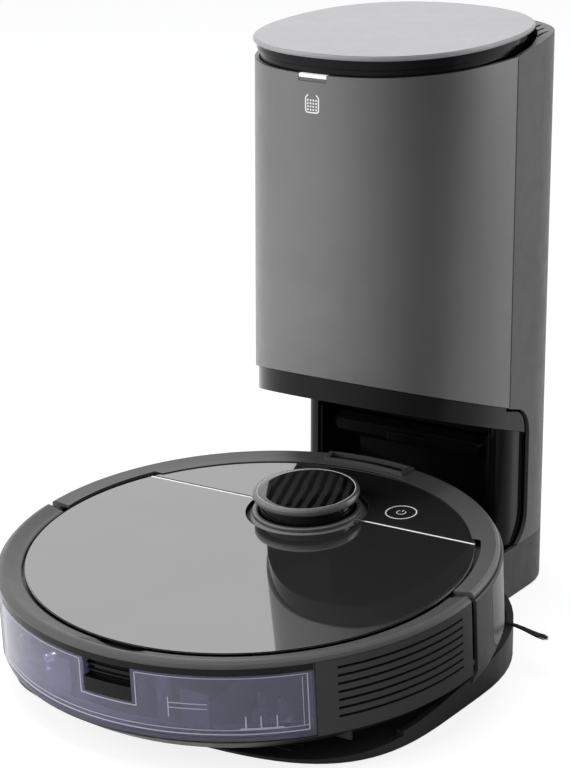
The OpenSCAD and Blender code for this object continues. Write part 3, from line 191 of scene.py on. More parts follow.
SURFACES = {
    # Station
    "ramp_black": dict(base=(0.042, 0.042, 0.043), rough=0.4, bump=0.16, vary=0.08, smudge=0.06,
                       Specular_IOR_Level=0.22),
    "rubber_black": dict(base=(0.02, 0.02, 0.02), rough=0.72, grain=1500, bump=0.3,
                         Sheen_Weight=0.15),
    "foot_grey": dict(base=(0.05, 0.049, 0.051), rough=0.42, bump=0.12, vary=0.07,
                      Specular_IOR_Level=0.3),
    "tower_grey": dict(base=(0.115, 0.114, 0.117), rough=0.42, bump=0.12, mottle=0.05, vary=0.06),
    "cover_metallic": dict(base=(0.21, 0.21, 0.213), rough=0.34, grain=3000, bump=0.05,
                           mottle=0.05, vary=0.04, stretch=(1, 1, 0.12), Metallic=0.75),
    "gloss_black": dict(base=(0.006, 0.006, 0.007), rough=0.06, bump=0.01, vary=0.02, smudge=0.05,
                        edge=0.3, Specular_IOR_Level=0.22),
    "lid_silver": dict(base=(0.435, 0.43, 0.445), rough=0.36, grain=2800, bump=0.06, mottle=0.025,
                       vary=0.04, Metallic=0.25),
    "ir_black": dict(base=(0.008, 0.005, 0.006), rough=0.05, bump=0.01, vary=0.02, wear=0,
                     Specular_IOR_Level=0.3),
    "duct_grey": dict(base=(0.09, 0.09, 0.093), rough=0.5, bump=0.12),
    "bag_paper": dict(base=(0.72, 0.7, 0.65), rough=0.85, grain=900, bump=0.5, mottle=0.05,
                      Sheen_Weight=0.3),
    "card_grey": dict(base=(0.55, 0.53, 0.5), rough=0.8, grain=1200, bump=0.3),
    "filter_paper": dict(base=(0.8, 0.8, 0.76), rough=0.85, grain=1000, bump=0.4),
    "motor_metal": dict(base=(0.5, 0.5, 0.51), rough=0.35, bump=0.1, Metallic=1.0),
    "contact_brass": dict(base=(0.72, 0.56, 0.3), rough=0.25, bump=0.05, Metallic=1.0, wear=0),
    "pin_steel": dict(base=(0.55, 0.55, 0.56), rough=0.22, bump=0.05, Metallic=1.0, wear=0),
    # Robot
    "body_black": dict(base=(0.012, 0.012, 0.0125), rough=0.42, bump=0.16, vary=0.08),
    "case_grey": dict(base=(0.085, 0.084, 0.085), rough=0.36, bump=0.08, mottle=0.04),
    "bumper_grey": dict(base=(0.062, 0.061, 0.062), rough=0.4, mottle=0.04),
    "cap_grey": dict(base=(0.115, 0.114, 0.115), rough=0.34, bump=0.08, mottle=0.04),
    "window_grey": dict(base=(0.075, 0.074, 0.076), rough=0.24, bump=0.02, mottle=0.03, vary=0.03),
    "panel_grey": dict(base=(0.038, 0.037, 0.038), rough=0.36, bump=0.08, mottle=0.04),
    "slot_dark": dict(base=(0.008, 0.007, 0.007), rough=0.6, bump=0.05, wear=0,
                      Specular_IOR_Level=0.1),
    # White print, inlays and lines, with a faint glow that is painted light
    "bright_strip": dict(base=(0.92, 0.92, 0.92), rough=0.35, bump=0.0, mottle=0.01, edge=0.02,
                         wear=0, Emission_Strength=0.2, Emission_Color=grey(1)),
    "turret_silver": dict(base=(0.21, 0.21, 0.212), rough=0.3, bump=0.05, mottle=0.04,
                          Metallic=0.5),
    "tank_edge": dict(base=(0.66, 0.65, 0.8), rough=0.18, bump=0.0, mottle=0.04, edge=0.05, wear=0,
                      Coat_Weight=0.5),
    "bin_smoke": dict(base=(0.05, 0.055, 0.07), rough=0.12, bump=0.02),
    "brush_blue": dict(base=(0.03, 0.06, 0.16), rough=0.5, bump=0.2, Sheen_Weight=0.1),
    "bristle_black": dict(base=(0.012, 0.012, 0.012), rough=0.4, wear=0),
    "tyre_black": dict(base=(0.018, 0.018, 0.018), rough=0.75, grain=1400, bump=0.35,
                       Sheen_Weight=0.15),
    "battery_wrap": dict(base=(0.05, 0.12, 0.32), rough=0.25, bump=0.05),
}
MATERIALS = {name: surface(name, **values) for name, values in SURFACES.items()}


def special_surface(name, **values):
    """A surface, with its tree and shader so that its maker can add to it."""
    mat = MATERIALS[name] = surface(name, **values)
    tree = mat.node_tree
    return tree, next(node for node in tree.nodes if node.type == "BSDF_PRINCIPLED")


def make_tank_clear():
    """Violet clear plastic, painted paler towards its -x end: a painted reflection of the bright
    floor on that side.
    """
    mat, tree, bsdf = new_material("tank_clear")
    MATERIALS["tank_clear"] = mat
    tint, painted_light_tint, rough = (0.7, 0.69, 0.86), (0.94, 0.93, 1.0), 0.03
    painted_light_x, painted_light_fade_x = -150, -70
    pale = tuple(min(1, c * 1.06) for c in tint)
    coords = object_coords(tree)
    flow = noise(tree, coords, scale=30, detail=3, rough=0.5, distortion=0.8)
    # Painted reflection: towards the -x end the tint fades to near white
    depth = mapped(tree, axes_of(tree, coords)[0], painted_light_x * MM, painted_light_fade_x * MM, 0, 1)
    tone = mixed(tree, depth, painted_light_tint, mixed(tree, flow, tint, pale))
    tree.links.new(tone, bsdf.inputs["Base Color"])
    tree.links.new(mapped(tree, flow, 0.3, 0.7, rough, rough * 2), bsdf.inputs["Roughness"])
    relief = tree.nodes.new("ShaderNodeBump")
    relief.inputs["Strength"].default_value = 0.04
    relief.inputs["Distance"].default_value = 0.4 * MM
    tree.links.new(flow, relief.inputs["Height"])
    tree.links.new(relief.outputs[0], bsdf.inputs["Normal"])
    bsdf.inputs["Transmission Weight"].default_value = 0.86
    bsdf.inputs["IOR"].default_value = 1.3


def make_light_lens():
    """The status light: its lower half is painted like the cover, its upper half glows."""
    lens, painted = (0.9, 0.9, 0.9), (0.17, 0.17, 0.172)
    painted_z, lit_z = 412.3, 412.6
    tree, bsdf = special_surface("light_lens", base=lens, rough=0.3, bump=0.02, mottle=0.02,
                                 Emission_Color=grey(1))
    height = axes_of(tree, object_coords(tree))[2]
    lit = mapped(tree, height, painted_z * MM, lit_z * MM, 0, 1)
    tree.links.new(mixed(tree, lit, painted, lens), bsdf.inputs["Base Color"])
    tree.links.new(mapped(tree, lit, 0, 1, 0, 0.4), bsdf.inputs["Emission Strength"])


def make_turret_gloss():
    """Polished black with faint wavy stripes below the surface."""
    tree, bsdf = special_surface("turret_gloss", base=(0.02, 0.02, 0.021), rough=0.05, bump=0.0,
                                 vary=0.015, wear=0, Coat_Weight=0.8, Coat_Roughness=0.03)
    wave = tree.nodes.new("ShaderNodeTexWave")
    wave.bands_direction = "X"
    for key, number in (("Scale", 39), ("Distortion", 2.2), ("Detail", 1.5), ("Detail Scale", 0.7)):
        wave.inputs[key].default_value = number
    turned = tree.nodes.new("ShaderNodeMapping")
    turned.inputs["Rotation"].default_value = (0, 0, math.radians(-19))
    tree.links.new(object_coords(tree), turned.inputs["Vector"])
    tree.links.new(turned.outputs[0], wave.inputs["Vector"])
    stripes = mapped(tree, wave.outputs["Fac"], 0.3, 0.7, 0, 1)
    tree.links.new(mixed(tree, stripes, grey(0.004), (0.03, 0.03, 0.031)),
                   bsdf.inputs["Base Color"])


def make_lid_black():
    """A dark mirror on the lid's top; its sides and rounded edge are painted near black as painted
    shade.
    """
    tree, bsdf = special_surface("lid_black", base=(0.36, 0.36, 0.365), rough=0.03, grain=600,
                                 bump=0.0, mottle=0.02, vary=0.01, smudge=0.03, wear=0, edge=0.12,
                                 Metallic=0.94)
    normal = tree.nodes.new("ShaderNodeTexCoord").outputs["Normal"]
    # Painted shade: where the surface turns away from straight up, the sides and edge go near black
    upward = mapped(tree, axes_of(tree, normal)[2], 0.9, 0.985, 0, 1)
    top = bsdf.inputs["Base Color"].links[0].from_socket
    tree.links.new(mixed(tree, upward, grey(0.03), top), bsdf.inputs["Base Color"])


make_lid_black()
make_turret_gloss()
make_tank_clear()
make_light_lens()

slots = {part["node"]: part["material_slot"] for part in frame["record"]["subparts"]}
slots.update(bumper_cap="cap_grey", bumper_window="window_grey", side_panel_left="panel_grey",
             side_panel_right="panel_grey")
for name, obj in nodes.items():
    obj.data.materials.clear()
    obj.data.materials.append(MATERIALS[slots[name]])


# ---------------------------------------------------------------- shading of the CAD's curved walls

# Facets that meet at less than this many degrees are shaded as one
FACET_LIMIT = 26
# Grid on which the points of neighbouring facets count as one point
SAME_POINT = 0.002 * MM
CURVED_NODES = ("front_cover", "gloss_band", "top_collar", "lid_rim", "station_lid",
                "tower_housing", "foot_block", "base_plate", "cavity_liner", "side_panel_left",
                "side_panel_right", "water_tank", "bag_chamber")


def soften(node):
    """Shades the facets of a curved wall as one; the points of the mesh stay as they are."""
    mesh = nodes[node].data
    keys = [tuple(round(c / SAME_POINT) for c in v.co) for v in mesh.vertices]
    around = {}
    for face in mesh.polygons:
        corners = [mesh.vertices[i].co for i in face.vertices]
        for k, i in enumerate(face.vertices):
            a = corners[k - 1] - corners[k]
            b = corners[(k + 1) % len(corners)] - corners[k]
            if a.length and b.length:
                around.setdefault(keys[i], []).append((face.normal.copy(), a.angle(b)))
    least = math.cos(math.radians(FACET_LIMIT))
    normals = []
    for face in mesh.polygons:
        for i in face.vertices:
            total = Vector()
            for normal, weight in around.get(keys[i], ()):
                if normal.dot(face.normal) > least:
                    total += normal * weight
            normals.append(total.normalized() if total.length else face.normal)
    for face in mesh.polygons:
        face.use_smooth = True
    mesh.normals_split_custom_set(normals)


for name in CURVED_NODES:
    soften(name)


# ---------------------------------------------------------------- mesh tools

def place_object(name, data):
    obj = bpy.data.objects.new(name, data)
    bpy.context.scene.collection.objects.link(obj)
    return obj


def add_piece(name, body, slot, solid, place=DOCK, smooth=35):
    """Adds a piece of points in millimetres and faces, moved by place, that rides on a body.

    Edges sharper than smooth degrees stay sharp, and with 0 every face is flat.
    """
    verts, faces = solid
    mesh = bpy.data.meshes.new(name)
    mesh.from_pydata([place @ (Vector(v) * MM) for v in verts], [], faces)
    work = bmesh.new()
    work.from_mesh(mesh)
    bmesh.ops.recalc_face_normals(work, faces=work.faces)
    work.to_mesh(mesh)
    work.free()
    mesh.materials.append(MATERIALS[slot])
    for face in mesh.polygons:
        face.use_smooth = smooth > 0
    if smooth:
        mesh.set_sharp_from_angle(angle=math.radians(smooth))
    obj = place_object(name, mesh)
    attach(obj, body)
    return obj


def dock_box(node):
    """Lowest and highest corner of a node in the robot's own frame, in millimetres."""
    back = DOCK.inverted()
    points = [back @ v.co for v in nodes[node].data.vertices]
    return (Vector(min(p[i] for p in points) for i in range(3)) / MM,
            Vector(max(p[i] for p in points) for i in range(3)) / MM)


def middle_of(lo, hi):
    return (lo.x + hi.x) / 2, (lo.y + hi.y) / 2


def wall_tree(node_names, place):
    """The walls of some nodes in the frame of place, to cast rays against."""
    back = place.inverted()
    points, polygons = [], []
    for node in node_names:
        base = len(points)
        mesh = nodes[node].data
        points += [back @ v.co for v in mesh.vertices]
        polygons += [[base + i for i in face.vertices] for face in mesh.polygons]
    return BVHTree.FromPolygons(points, polygons)


def flat_at(z):
    """Turns a 2-D point into a 3-D one at height z."""
    return lambda x, y: (x, y, z)


def steps_between(start, end, steps):
    return [start + (end - start) * i / steps for i in range(steps + 1)]


def arc(radius, start, end, steps, centre=(0, 0)):
    """Points on a circle from one angle to another, in degrees."""
    return [(centre[0] + radius * math.cos(math.radians(a)),
             centre[1] + radius * math.sin(math.radians(a)))
            for a in steps_between(start, end, steps)]


def join(parts):
    verts, faces = [], []
    for part_verts, part_faces in parts:
        base = len(verts)
        verts += part_verts
        faces += [tuple(base + i for i in face) for face in part_faces]
    return verts, faces


def skin(rows, count):
    """Faces round a stack of closed rows of count points, and over both of its ends."""
    faces = []
    for i in range(rows - 1):
        for k in range(count):
            m = (k + 1) % count
            faces.append((i * count + k, i * count + m, (i + 1) * count + m, (i + 1) * count + k))
    faces.append(tuple(range(count)))
    faces.append(tuple(range((rows - 1) * count, rows * count)))
    return faces


def revolve(profile, centre, steps):
    """Points and faces of a closed [radius, height] profile turned about a vertical axis."""
    verts, faces = [], []
    count = len(profile)
    for i in range(steps):
        a = 2 * math.pi * i / steps
        verts += [(centre[0] + r * math.cos(a), centre[1] + r * math.sin(a), z)
                  for r, z in profile]
        j = (i + 1) % steps
        for k in range(count):
            m = (k + 1) % count
            faces.append((i * count + k, j * count + k, j * count + m, i * count + m))
    return verts, faces


def tube(points, radii, sides):
    """Points and faces of a tube with closed ends through 3-D points."""
    verts = []
    for i, p in enumerate(points):
        a, b = points[max(0, i - 1)], points[min(len(points) - 1, i + 1)]
        along = (Vector(b) - Vector(a)).normalized()
        u = along.orthogonal().normalized()
        v = along.cross(u)
        for k in range(sides):
            t = 2 * math.pi * k / sides
            verts.append(tuple(Vector(p) + (u * math.cos(t) + v * math.sin(t)) * radii[i]))
    return verts, skin(len(points), sides)


def stroke(points, width):
    """Left and right edge of a line of constant width through 2-D points."""
    left, right = [], []
    for i, p in enumerate(points):
        a, b = points[max(0, i - 1)], points[min(len(points) - 1, i + 1)]
        along = Vector((b[0] - a[0], b[1] - a[1])).normalized()
        side = Vector((-along.y, along.x)) * width / 2
        left.append((p[0] + side.x, p[1] + side.y))
        right.append((p[0] - side.x, p[1] - side.y))
    return left, right


def strip_solid(left, right, low, high):
    """A thin solid between two edges; low and high turn a 2-D point into a 3-D one."""
    count = len(left)
    verts = [turn(*p) for turn in (low, high) for edge in (left, right) for p in edge]
    faces = []
    for i in range(count - 1):
        a, b, c, d = i, i + 1, count + i + 1, count + i
        top = [2 * count + k for k in (a, b, c, d)]
        faces += [(a, b, c, d), tuple(reversed(top)),
                  (a, b, top[1], top[0]), (d, c, top[2], top[3])]
    for i in (0, count - 1):
        faces.append((i, count + i, 3 * count + i, 2 * count + i))
    return verts, faces


def ring_part(radii, heights, start, end, steps):
    """A flat or upright band: part of a ring between two radii and two heights."""
    inner, outer = (arc(r, start, end, steps) for r in radii)
    return strip_solid(inner, outer, flat_at(heights[0]), flat_at(heights[1]))


# ---------------------------------------------------------------- pieces

def make_power_button():
    """The sign on the power button, and the bright ring round it."""
    lo, hi = dock_box("power_button")
    cx, cy = middle_of(lo, hi)
    reach, top = (hi.x - lo.x) / 2, hi.z
    line_width = 0.55
    open_ring, bar = arc(3.3, 130, 410, 28), [(0, 1.2), (0, 4.2)]

    def at(z):
        return lambda x, y: (cx + x, cy + y, z)
    sign = [strip_solid(*stroke(line, line_width), at(top - 0.1), at(top + 0.04))
            for line in (open_ring, bar)]
    add_piece("power_sign", "button", "bright_strip", join(sign), smooth=0)
    ring = [(reach + 0.7, top - 0.38), (reach + 1.5, top - 0.38), (reach + 1.5, top + 0.02),
            (reach + 1.3, top + 0.1), (reach + 0.9, top + 0.1), (reach + 0.7, top + 0.02)]
    add_piece("button_ring", "robot", "bright_strip", revolve(ring, (cx, cy), 72))


def make_bag_sign():
    """The dust bag picture on the front cover: an open bag outline with a grid of dots."""
    tree = wall_tree(["front_cover"], STATION)
    middle, in_front = 394.5, -200

    def at(depth):
        def place(x, z):
            start = Vector((x, in_front, middle + z)) * MM
            hit = tree.ray_cast(start, Vector((0, 1, 0)))[0]
            return (x, hit.y / MM + depth, middle + z)
        return place
    front, back = at(-0.05), at(0.12)
    half, foot, corner = 5.2, -6.2, 1.8
    left = [(-3.2, 6.2), (-3.9, 5.6), (-half, 4.2), (-half, 2), (-half, -1), (-half, -4.2)]
    left += arc(corner, 180, 270, 6, (-half + corner, foot + corner))[1:] + [(-2, foot)]
    outline = left + [(0, foot)] + [(-x, z) for x, z in reversed(left)]
    parts = [strip_solid(*stroke(outline, 0.95), back, front)]
    pitch, first_x, first_z = 2.2, -3.3, -4.2
    for i in range(4):
        for j in range(4):
            rim = arc(0.72, 0, 315, 7, (first_x + i * pitch, first_z + j * pitch))
            parts.append(([turn(*p) for turn in (back, front) for p in rim], skin(2, len(rim))))
    add_piece("bag_sign", "station", "bright_strip", join(parts), STATION, 0)


def make_turret_top():
    """The striped disc let into the turret's cap, and the fine bright line round it."""
    lo, hi = dock_box("lidar_cap")
    centre = middle_of(lo, hi)
    rim_width, top = 3.2, hi.z
    edge = (hi.x - lo.x) / 2 - rim_width
    disc = [(0.01, top - 0.55), (edge, top - 0.55), (edge, top - 0.2), (edge - 0.3, top - 0.06),
            (edge - 4, top - 0.02), (0.01, top)]
    add_piece("turret_top", "robot", "turret_gloss", revolve(disc, centre, 128))
    line = [(edge + 0.05, top - 0.5), (edge + 0.5, top - 0.5), (edge + 0.5, top - 0.05),
            (edge + 0.05, top - 0.05)]
    add_piece("turret_line", "robot", "bright_strip", revolve(line, centre, 128))


def make_side_brush(side, start_angle, seed):
    """Hub with three tufts of fine bristles, which spread and curl towards their tips."""
    rng = random.Random(seed)
    cx, cy = 112 * side, 95
    tuft_count, strand_count, segments = 3, 64, 8
    root, tip, tuft_bend = 18, 69, math.radians(24)
    hub_profile = [(0.01, 3), (7.5, 3), (9, 3.6), (10.4, 5), (11, 6.2), (11, 8.5), (2.5, 8.5),
                   (2.5, 30), (0.01, 30)]
    parts = [revolve(hub_profile, (cx, cy), 48)]
    tufts = []
    centre = Vector((cx, cy, 4.4))
    for arm in range(tuft_count):
        turn = math.radians(start_angle + arm * 360 / tuft_count)
        out = Vector((math.cos(turn), math.sin(turn), 0))
        across = Vector((-out.y, out.x, 0))
        sleeve = [tuple(centre + out * d) for d in (7, 9, 15, 21, 22)]
        parts.append(tube(sleeve, (2.2, 2.4, 2.1, 1.6, 1.3), 12))
        for _ in range(strand_count):
            spread = rng.uniform(-1, 1)
            lift = rng.uniform(-1, 1)
            reach = tip - 2.4 * abs(spread) - rng.uniform(0, 3)
            clump = 0.6 * round(spread * 2.5) / 2.5 + 0.4 * spread
            line = []
            for step in range(segments + 1):
                t = step / segments
                # The tuft trails behind the sleeve as it bends
                bend = -side * tuft_bend * t * t * (3 - 2 * t)
                wide = 0.9 * spread * (1 - t) + clump * (0.5 + 3.6 * t ** 2.4)
                drop = 0.55 * lift * (1 - t) + lift * 0.6 * t - 1.3 * t * t
                ray = out * math.cos(bend) + across * math.sin(bend)
                line.append(tuple(centre + ray * (root + (reach - root) * t) + across * wide
                                  + Vector((0, 0, drop))))
            tufts.append(tube(line, [0.2] * segments + [0.12], 4))
    name = "side_brush_right" if side > 0 else "side_brush_left"
    hub = add_piece(name + "_hub", name, "bristle_black", join(parts))
    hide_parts(name)
    add_piece(name + "_bristles", name, "bristle_black", join(tufts))


def make_lid_line():
    """The bright inlay along the flip lid's hinged edge, on both sides of the turret."""
    hi = dock_box("lid_strip")[1]
    top = max(hi.z, dock_box("robot_lid")[1].z)
    turret_edge, width = 47.5, 1.5
    parts = []
    for side in SIDES:
        points = [(side * x, hi.y - width / 2) for x in steps_between(turret_edge, hi.x, 8)]
        parts.append(strip_solid(*stroke(points, width), flat_at(top - 0.05), flat_at(top + 0.06)))
    add_piece("lid_line", "flip_lid", "bright_strip", join(parts), smooth=0)


def make_tank_band_shade():
    """Thin black sheet between the rear rim and the water tank: painted shade under the rim."""
    tank = dock_box("water_tank")[1]
    heights = tank.z + 0.34, dock_box("side_panel_right")[1].z + 0.25
    reach = dock_box("top_case")[1].x
    half = math.degrees(math.asin(tank.x / reach))
    band = ring_part((reach - 0.4, reach - 0.1), heights, -90 - half, -90 + half, 90)
    add_piece("tank_band_shade", "robot", "gloss_black", band)


def make_tank_line_highlights():
    """Raised moulded edges of the tank: foot, ends, pocket frame, level mark and valve posts; their
    pale colour is painted highlight.
    """
    tree = wall_tree(["water_tank"], DOCK)
    lo, hi = dock_box("water_tank")
    reach = -lo.y
    mm_per_degree = 3.08

    def on_wall(depth):
        def place(a, z):
            """A point at angle a and height z on the tank's curved wall."""
            out = Vector((math.sin(math.radians(a)), -math.cos(math.radians(a)), 0))
            hit = tree.ray_cast((out * (reach + 30) + Vector((0, 0, z))) * MM, -out)[0]
            near = hit / MM if hit else out * reach + Vector((0, 0, z))
            return tuple(near + out * depth)
        return place
    low, high = on_wall(-0.25), on_wall(0.12)
    parts = []

    def line(points, width):
        """Adds a rib through points of angle and height, its width in millimetres."""
        edges = stroke([(a * mm_per_degree, z) for a, z in points], width)
        parts.append(strip_solid(*([(x / mm_per_degree, z) for x, z in edge] for edge in edges),
                                 low, high))

    def level(start, end, z, steps, width):
        line([(a, z) for a in steps_between(start, end, steps)], width)

    def upright(a, start, end, width):
        line([(a, z) for z in steps_between(start, end, 6)], width)

    def angle(x):
        return math.degrees(math.asin(x / reach))
    pocket_low, pocket_high = dock_box("tank_latch")
    end, side = angle(hi.x - 3), angle(pocket_high.x + 2.6)
    foot, head, pocket = lo.z + 5.2, hi.z - 1.6, pocket_low.z - 2
    step, mark = 3.2, 14.5
    level(-end, end, foot, 110, 0.7)
    level(-end, end, foot + step, 110, 0.45)
    for s in SIDES:
        upright(s * end, foot, head, 0.7)
        upright(s * (end - 1.1), foot + step, head + step - 5, 0.4)
        level(s * (side + 0.4), s * end, head, 50, 0.45)
        upright(s * (side + 0.2), pocket, head, 0.6)
    level(-side - 0.2, side + 0.2, pocket, 20, 0.6)
    upright(mark, 40, 54.4, 0.7)
    for z in (47, 50.5):
        level(mark, mark + 8.5, z, 10, 0.5)
    for a in (31.0, 34.2, 37.6):
        upright(a, lo.z + 9, lo.z + 18, 0.9)
    level(29.8, 39, lo.z + 9.2, 12, 0.8)
    add_piece("tank_line_highlights", "tank", "tank_edge", join(parts), smooth=0)


def make_cover_seam_shadow():
    """Black strip in the gap between the front cover and the housing: painted shadow in the seam.
    """
    lo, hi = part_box("front_cover")
    reach, heights = hi.x / MM, (lo.z / MM + 0.6, hi.z / MM - 1)
    gap_0, gap_1 = hi.y / MM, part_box("tower_housing")[0].y / MM
    inside, face, crown = reach - 1.6, reach + 0.02, reach + 0.1
    ring = [(inside, gap_0 + 0.06), (face, gap_0 + 0.06), (face, gap_0 - 0.5),
            (crown, gap_0 - 0.45), (crown, gap_1 + 0.45), (face, gap_1 + 0.5),
            (face, gap_1 - 0.06), (inside, gap_1 - 0.06)]
    parts = [([(s * x, y, z) for z in heights for x, y in ring], skin(2, len(ring)))
             for s in SIDES]
    add_piece("cover_seam_shadow", "station", "rubber_black", join(parts), STATION, 0)


def make_sensor_slot_shade():
    """Flat dark sheet in the docking sensor's frame on the front rim: painted shade inside its
    slot.
    """
    hi = dock_box("dock_sensor")[1]
    turn = math.degrees(math.asin(hi.x / hi.y)) - 0.6
    band = ring_part((hi.y - 8.4, hi.y - 0.6), (hi.z + 0.02, hi.z + 0.1), 90 - turn, 90 + turn, 24)
    add_piece("sensor_slot_shade", "bumper", "slot_dark", band, smooth=0)


def make_window_line_shade():
    """Dark strip round the bumper's front window, on both sides: painted shade in the gap round it.
    """
    panel_low, panel_high = dock_box("side_panel_right")
    low, high = panel_low.z, panel_high.z - 2.2
    reach = dock_box("top_case")[1].x
    start, end, bend, inset = 33, 150, 13, 0.25
    route = [(start + inset, z) for z in steps_between(high, low + bend, 12)]
    route += arc(bend - inset, 180, 270, 10, (start + bend, low + bend))[1:]
    route += [(y, low + inset) for y in steps_between(start + bend, end, 30)[1:]]
    parts = []
    for side in SIDES:
        def at(r):
            return lambda y, z: (side * math.sqrt(r * r - y * y), y, z)
        parts.append(strip_solid(*stroke(route, 0.9), at(reach - 0.6), at(reach + 0.02)))
    add_piece("window_line_shade", "bumper", "rubber_black", join(parts), smooth=0)


BASE_SCREWS = ((40, -100), (128, -20), (128, 60), (62, 100), (95, 140), (62, 240), (30, 280))
ROBOT_SCREWS = ((25, -130), (60, -145), (100, -110), (120, -70), (50, -60), (90, 60), (60, 100),
                (40, 140), (84, 6))


def make_screws(name, body, wall_nodes, spots, place):
    """Cross-head screws on an underside, wherever the wall is flat round the spot."""
    tree = wall_tree(wall_nodes, place)
    below, round_spot, flatness = -20, 5, 0.1
    heads, recess_shades = [], []
    for x, y in ((side * x, y) for side in SIDES for x, y in spots):
        hits = [tree.ray_cast(Vector((x + dx, y + dy, below)) * MM, Vector((0, 0, 1)))[0]
                for dx, dy in ((0, 0), (round_spot, 0), (-round_spot, 0), (0, round_spot),
                               (0, -round_spot))]
        if any(hit is None for hit in hits):
            continue
        heights = [hit.z / MM for hit in hits]
        if max(heights) - min(heights) > flatness:
            continue
        low = heights[0]
        head = [(0.01, low - 0.7), (2.2, low - 0.6), (3.1, low - 0.3), (3.3, low - 0.03),
                (0.01, low - 0.03)]
        heads.append(revolve(head, (x, y), 32))
        # Painted shade: the cross recess is a dark strip standing proud of the head
        for dx, dy in ((1.6, 0), (0, 1.6)):
            bar = stroke([(x - dx, y - dy), (x + dx, y + dy)], 0.6)
            recess_shades.append(strip_solid(*bar, flat_at(low - 0.55), flat_at(low - 0.76)))
    add_piece(name, body, "pin_steel", join(heads), place)
    add_piece(name + "_slots", body, "rubber_black", join(recess_shades), place, 0)


def make_inlet_pins():
    """Three flat pins in the mains inlet."""
    section = ((-1, -2), (1, -2), (1, 2), (-1, 2))
    # Distance from the origin and share of the section: root, shoulder and tapered tip
    rows = ((304.02, 1), (308.6, 1), (309.6, 0.6))
    parts = [([(x + u * share, y, z + v * share) for y, share in rows for u, v in section],
              skin(len(rows), len(section)))
             for x, z in ((-7, 19.5), (7, 19.5), (0, 24.5))]
    add_piece("inlet_pins", "station", "pin_steel", join(parts), STATION, 0)


def make_dust_bag():
    """The paper dust bag: a slack, gusseted form that hangs from its card, creased, with a neck."""
    lo, hi = (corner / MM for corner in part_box("dust_bag"))
    cx, cy = middle_of(lo, hi)
    wide, deep = (hi.x - lo.x) / 2 - 0.7, (hi.y - lo.y) / 2 - 0.7
    z0, z1 = lo.z + 0.5, hi.z - 0.5
    end_wide, end_deep = 22, 26
    rows, around = 56, 132
    verts = []
    for i in range(rows + 1):
        t = i / rows
        z = z0 + (z1 - z0) * t
        full = max(0.0, 1 - abs(2 * t - 1) ** 4.5) ** (1 / 3)
        sag = 1 - 0.05 * t - 0.03 * math.sin(math.pi * t)
        for k in range(around):
            a = 2 * math.pi * k / around
            c, s = math.cos(a), math.sin(a)
            x = math.copysign(abs(c) ** 0.55, c) * (end_wide + (wide - end_wide) * full) * sag
            y = math.copysign(abs(s) ** 0.55, s) * (end_deep + (deep - end_deep) * full) * sag
            out = Vector((c, s))
            # Gussets fold in on the narrow sides, and the paper keeps its flat-pack creases
            pull = 8.5 * full * math.exp(-(x / 8) ** 2) * abs(s) ** 6
            for crease in (0.24, 0.52, 0.78):
                pull += 1.3 * math.exp(-((t - crease) / 0.012) ** 2)
            ripple = (mnoise.noise(Vector((x / 17, y / 17, z / 24)))
                      + 0.5 * mnoise.noise(Vector((x / 6, y / 6, z / 9))))
            pull += 1.5 + 1.5 * max(-1.0, min(1.0, ripple))
            pull *= 0.25 + 0.75 * full
            verts.append((cx + x - out.x * pull, cy + y - out.y * pull, z))
    bag = add_piece("paper_bag", "bag", "bag_paper", (verts, skin(rows + 1, around)), STATION, 50)
    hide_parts("dust_bag")
    neck = [(24.3, z1 + 0.15), (36, z1 + 0.15), (36.4, z1 + 0.35), (36, z1 + 0.55),
            (24.3, z1 + 0.55)]
    add_piece("bag_neck", "bag", "card_grey", revolve(neck, (cx, cy), 72), STATION)
    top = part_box("bag_card")[1].z / MM
    seal = [(24.4, top + 0.02), (28.4, top + 0.02), (28.4, top + 0.8), (27.6, top + 1.4),
            (25.2, top + 1.4), (24.4, top + 0.8)]
    add_piece("bag_seal", "bag", "rubber_black", revolve(seal, (cx, cy), 72), STATION)


make_power_button()
make_bag_sign()
make_turret_top()
make_side_brush(1, start_angle=31, seed=11)
make_side_brush(-1, start_angle=100, seed=23)
make_lid_line()
make_tank_band_shade()
make_tank_line_highlights()
make_cover_seam_shadow()
make_sensor_slot_shade()
make_window_line_shade()
make_screws("base_screws", "station", ("base_plate", "foot_block", "base_feet"), BASE_SCREWS,
            STATION)
make_screws("robot_screws", "robot", ("chassis", "brush_cover"), ROBOT_SCREWS, DOCK)
make_inlet_pins()
make_dust_bag()


# ---------------------------------------------------------------- scene

FLOOR_HALF = 8
FLOOR_GAP = 0.2 * MM
# What gloss sees of the floor: degrees round the object, and brightness
CARD_STOPS = ((-121, 0.92), (-65, 0.6), (-26, 0.26), (2, 0.0), (22, 0.0), (30, 0.26), (48, 0.36),
              (65, 0.6), (125, 1.0))
CARD_ENDS = 0.95
# Name, place, target, width and height in metres, watts, and whether gloss shows the lamp
LAMPS = (("top_light", (-0.3, 0.1, 2.0), (0, 0.05, 0.2), (1.6, 1.6), 24, False),
         ("left_light", (-1.5, -1.2, 0.9), (0, 0.1, 0.2), (1.0, 1.5), 20, False),
         ("right_light", (1.3, 1.7, 0.8), (0, 0.1, 0.2), (0.8, 1.4), 7, True))
CAMERA_PLACE = (0.9882, -1.5481, 0.7857)
CAMERA_TARGET = (0.06086, -0.05736, 0.23728)
CAMERA_LENS, CAMERA_SENSOR = 131.25, 36


def aim(obj, place, target):
    obj.location = place
    obj.rotation_euler = (Vector(target) - Vector(place)).to_track_quat("-Z", "Y").to_euler()


def seen_background(tree):
    """1 for rays from the camera, from gloss and through clear pieces, 0 for plain light."""
    path = tree.nodes.new("ShaderNodeLightPath")
    total = path.outputs["Is Camera Ray"]
    for key in ("Is Glossy Ray", "Is Transmission Ray"):
        total = calculated(tree, "MAXIMUM", total, path.outputs[key])
    return total


